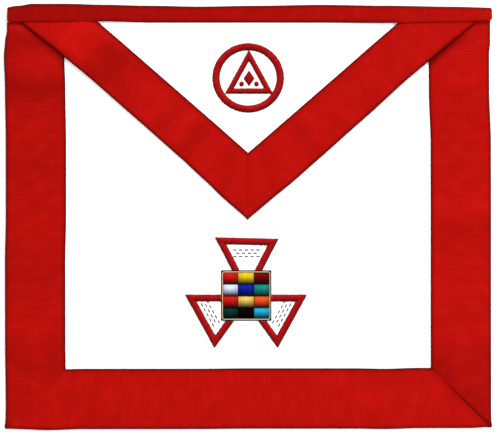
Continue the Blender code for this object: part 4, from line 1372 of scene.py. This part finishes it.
grey_thread_finish = satin_finish("grey_thread_finish", *GREY_THREAD, EVEN_LEVELS)
for seed, (name, corners) in enumerate(FRAME_CORNERS.items(), 51):
    outline = [(emblem_x + FRAME_REACH * x, emblem_y + FRAME_REACH * y) for x, y in corners]
    pairs = mitred(outline, FRAME_BAR)
    bed = trimmed_by_plate(padding_loop(f"frame_{name}", pairs, panel_top))
    bars = triangle_threads(pairs, panel_top, under_plate)
    piece = embroidered(f"satin_frame_{name}", bed, bars, red_satin_finish, seed)
    on_root(piece, "red_thread", f"emblem_frame_{name}")

    patch_x, patch_y, turn = DASH_PATCHES[name]
    patch = (emblem_x + FRAME_REACH * patch_x, emblem_y + FRAME_REACH * patch_y)
    dashes = []
    for row in range(DASH_ROWS):
        across = ((DASH_ROWS - 1) / 2 - row) * DASH_SPACE[1]
        for column in range(DASH_COLUMNS - row % 2):
            start = (column + (row % 2 + 1 - DASH_COLUMNS) / 2) * DASH_SPACE[0] - DASH_LENGTH / 2
            stitch = (start, start + DASH_LENGTH)
            ends = [turned_about(patch, math.radians(turn), at, across) for at in stitch]
            dash = laid_thread(*ends, (0.0, 1.0), panel_top, height=DASH_RISE)
            dashes.append(dash[::2] - (0.0, 0.0, GAP / 2))
    look = {"radius": DASH_THREAD, "uneven": 0.3}
    marks = embroidered(f"grey_stitches_{name}", None, dashes, grey_thread_finish, seed + 10, **look)
    on_root(marks, "white_block")

# The plate
# A square of black cloth with a twisted gold cord round its edge and twelve padded blocks of satin
# stitch in the cord, four rows of three, each in its own colour.
PLATE_MARGIN = 0.0003
PLATE_BEVEL = 0.00035
BLACK_WEAVE = 0.0005
BLACK_CLOTH = ((0.0, (0.005, 0.005, 0.004)), (1.0, (0.002, 0.002, 0.002)))
CORD = 0.0011
CORD_BEND = 0.0016
CORD_TWIST = 0.0024
CORD_STRANDS = 3
CORD_INSET = 0.0013
CORD_STRAND = 0.00021
CORD_WIND = 0.00018
CORD_STEPS_TO_A_TURN = 10
GOLD_THREAD = ((0.40, 0.28, 0.14), (0.62, 0.47, 0.27))
BLOCK_SPACE = 0.0004
BLOCK_RISE = 0.0022
BLOCK_FULLNESS = 2.2
BLOCK_SIDE = 0.6
BLOCK_SIDE_SHADE = 0.32
BLOCK_POINTS = 12
BLOCK_PADDING_TURN = 0.25
BLOCK_STRAY = 0.4
BLOCK_COLUMNS = (0.32, 0.345, 0.335)
BLOCK_ROWS = (0.257, 0.256, 0.252, 0.235)
BLOCK_COLOURS = (
    ("red", "yellow", "maroon"),
    ("white", "blue", "teal"),
    ("red", "gold", "orange"),
    ("green", "black", "cyan"),
)

# Painted shade along a block's thread as it runs down the block, darkest at the bottom
BLOCK_PAINTED_SHADE = (
    (0.0, 0.3), (0.1, 0.88), (0.3, 0.86), (0.45, 0.76), (0.6, 0.58), (0.72, 0.4), (0.85, 0.2), (1.0, 0.02),
)

# Dark and light thread of each block colour, as linear RGB
BLOCK_THREADS = {
    "red": ((0.32, 0.004, 0.002), (0.45, 0.010, 0.005)),
    "yellow": ((0.42, 0.30, 0.004), (0.56, 0.41, 0.010)),
    "maroon": ((0.085, 0.0007, 0.0013), (0.13, 0.002, 0.004)),
    "white": ((0.40, 0.45, 0.56), (0.50, 0.56, 0.67)),
    "blue": ((0.002, 0.005, 0.17), (0.005, 0.013, 0.25)),
    "teal": ((0.005, 0.12, 0.10), (0.011, 0.19, 0.16)),
    "gold": ((0.43, 0.28, 0.05), (0.57, 0.40, 0.10)),
    "orange": ((0.45, 0.045, 0.004), (0.58, 0.075, 0.009)),
    "green": ((0.001, 0.015, 0.014), (0.003, 0.028, 0.025)),
    "black": ((0.0014, 0.001, 0.001), (0.003, 0.002, 0.002)),
    "cyan": ((0.005, 0.21, 0.36), (0.012, 0.31, 0.50)),
}

plate_half = PLATE_SIDE / 2
plate_bed = float(panel_top(emblem_x, emblem_y)) + GAP
block_seat = plate_bed + RIBBON + GAP

backing_finish, tree, shader = finish("black_cloth_finish", 0.9, 0.03)
place = node(tree, "ShaderNodeTexCoord").outputs["Object"]
weave = node(tree, "ShaderNodeTexVoronoi", {"Vector": place, "Scale": 1 / BLACK_WEAVE, "Randomness": 0.15})
bump = node(tree, "ShaderNodeBump", {"Height": weave, "Strength": 0.6, "Distance": 0.0001})
shown(tree, shader, ramp(tree, weave, *BLACK_CLOTH), bump)

cloth = cube((PLATE_SIDE, PLATE_SIDE, RIBBON), (emblem_x, emblem_y, plate_bed + RIBBON / 2))
bmesh.ops.bevel(cloth, geom=list(cloth.edges), offset=PLATE_BEVEL, segments=3, affect="EDGES", profile=0.5)
backing_mesh = bpy.data.meshes.new("black_cloth")
cloth.to_mesh(backing_mesh)
cloth.free()
turned_out(backing_mesh)
on_root(placed("black_cloth", backing_mesh, backing_finish), "black_backing", "plate_backing")

gold_finish = satin_finish("gold_cord_finish", *GOLD_THREAD, EVEN_LEVELS)
cord_half = plate_half - CORD_INSET
cord_side = 2 * (cord_half - CORD_BEND)
cord_length = 4 * cord_side + 2 * math.pi * CORD_BEND
cord_turns = round(cord_length / CORD_TWIST)
cord_runs = np.linspace(0.0, cord_length, cord_turns * CORD_STEPS_TO_A_TURN + 1)[:-1]
quarter, rest = np.divmod(cord_runs, cord_length / 4)
out = np.maximum(rest - cord_side, 0.0) / CORD_BEND
cord_x = cord_half - CORD_BEND * (1.0 - np.cos(out))
cord_y = np.minimum(rest, cord_side) - cord_side / 2 + CORD_BEND * np.sin(out)
strands = []
for strand in range(CORD_STRANDS):
    spin = 2 * math.pi * (cord_runs / cord_length * cord_turns + strand / CORD_STRANDS)
    wind = CORD_WIND * np.cos(spin)
    strand_x, strand_y = cord_x + wind * np.cos(out), cord_y + wind * np.sin(out)
    x, y = turned_about((emblem_x, emblem_y), quarter * math.pi / 2, strand_x, strand_y)
    strands.append(points(x, y, block_seat + CORD_STRAND + CORD_WIND * (1.0 + np.sin(spin))))
gold_cord = embroidered("gold_cord", None, strands, gold_finish, 61, radius=CORD_STRAND, closed=True)
on_root(gold_cord, "gold_thread", "plate_cord")


def block_height(down, part):
    """Height of a block of satin stitch at shares down and across it."""
    crown = np.sqrt(1.0 - np.abs(2.0 * down - 1.0) ** BLOCK_FULLNESS)
    return BLOCK_RISE * crown * dome(part, BLOCK_SIDE)


def satin_block(place, left, top, size, colour, seed):
    """A padded block of upright satin threads, with painted shade towards its sides."""
    threads, levels = [], []
    count = round(size[0] / THREAD_PITCH)
    down = cosine_steps(BLOCK_POINTS)
    for part in (np.arange(count) + 0.5) / count:
        y = top - size[1] * down + BLOCK_STRAY * needle.uniform(-STRAY, STRAY)
        z = block_seat + block_height(down, part) - 0.5 * THREAD
        z[[0, -1]] = block_seat
        threads.append(points(left + size[0] * part, y, z))
        levels.append(1.0 - BLOCK_SIDE_SHADE * abs(2.0 * part - 1.0) ** 3)
    down = (1.0 - np.cos(np.linspace(BLOCK_PADDING_TURN, math.pi - BLOCK_PADDING_TURN, 11)[:, None])) / 2
    part = np.linspace(0.02, 0.98, 7)[None, :]
    x, y = left + size[0] * part, top - size[1] * down
    bed = padding(f"block_{place}", x, y, block_seat, block_height(down, part), ring=False)
    piece = embroidered(f"satin_block_{place}", bed, threads, block_finishes[colour], seed, levels=levels)
    on_root(piece, f"{colour}_block", f"block_{place}")


block_finishes = {
    name: satin_finish(f"{name}_satin_finish", *ends, BLOCK_PAINTED_SHADE) for name, ends in BLOCK_THREADS.items()
}
grid = 2 * (plate_half - PLATE_MARGIN - CORD - GAP)
row_top = emblem_y + grid / 2
for row, (row_share, row_colours) in enumerate(zip(BLOCK_ROWS, BLOCK_COLOURS), 1):
    column_left = emblem_x - grid / 2
    for column, (column_share, colour) in enumerate(zip(BLOCK_COLUMNS, row_colours), 1):
        size = (grid * column_share - BLOCK_SPACE, grid * row_share - BLOCK_SPACE)
        left, top = column_left + BLOCK_SPACE / 2, row_top - BLOCK_SPACE / 2
        satin_block(f"{row}_{column}", left, top, size, colour, 70 + 3 * row + column)
        column_left += grid * column_share
    row_top -= grid * row_share
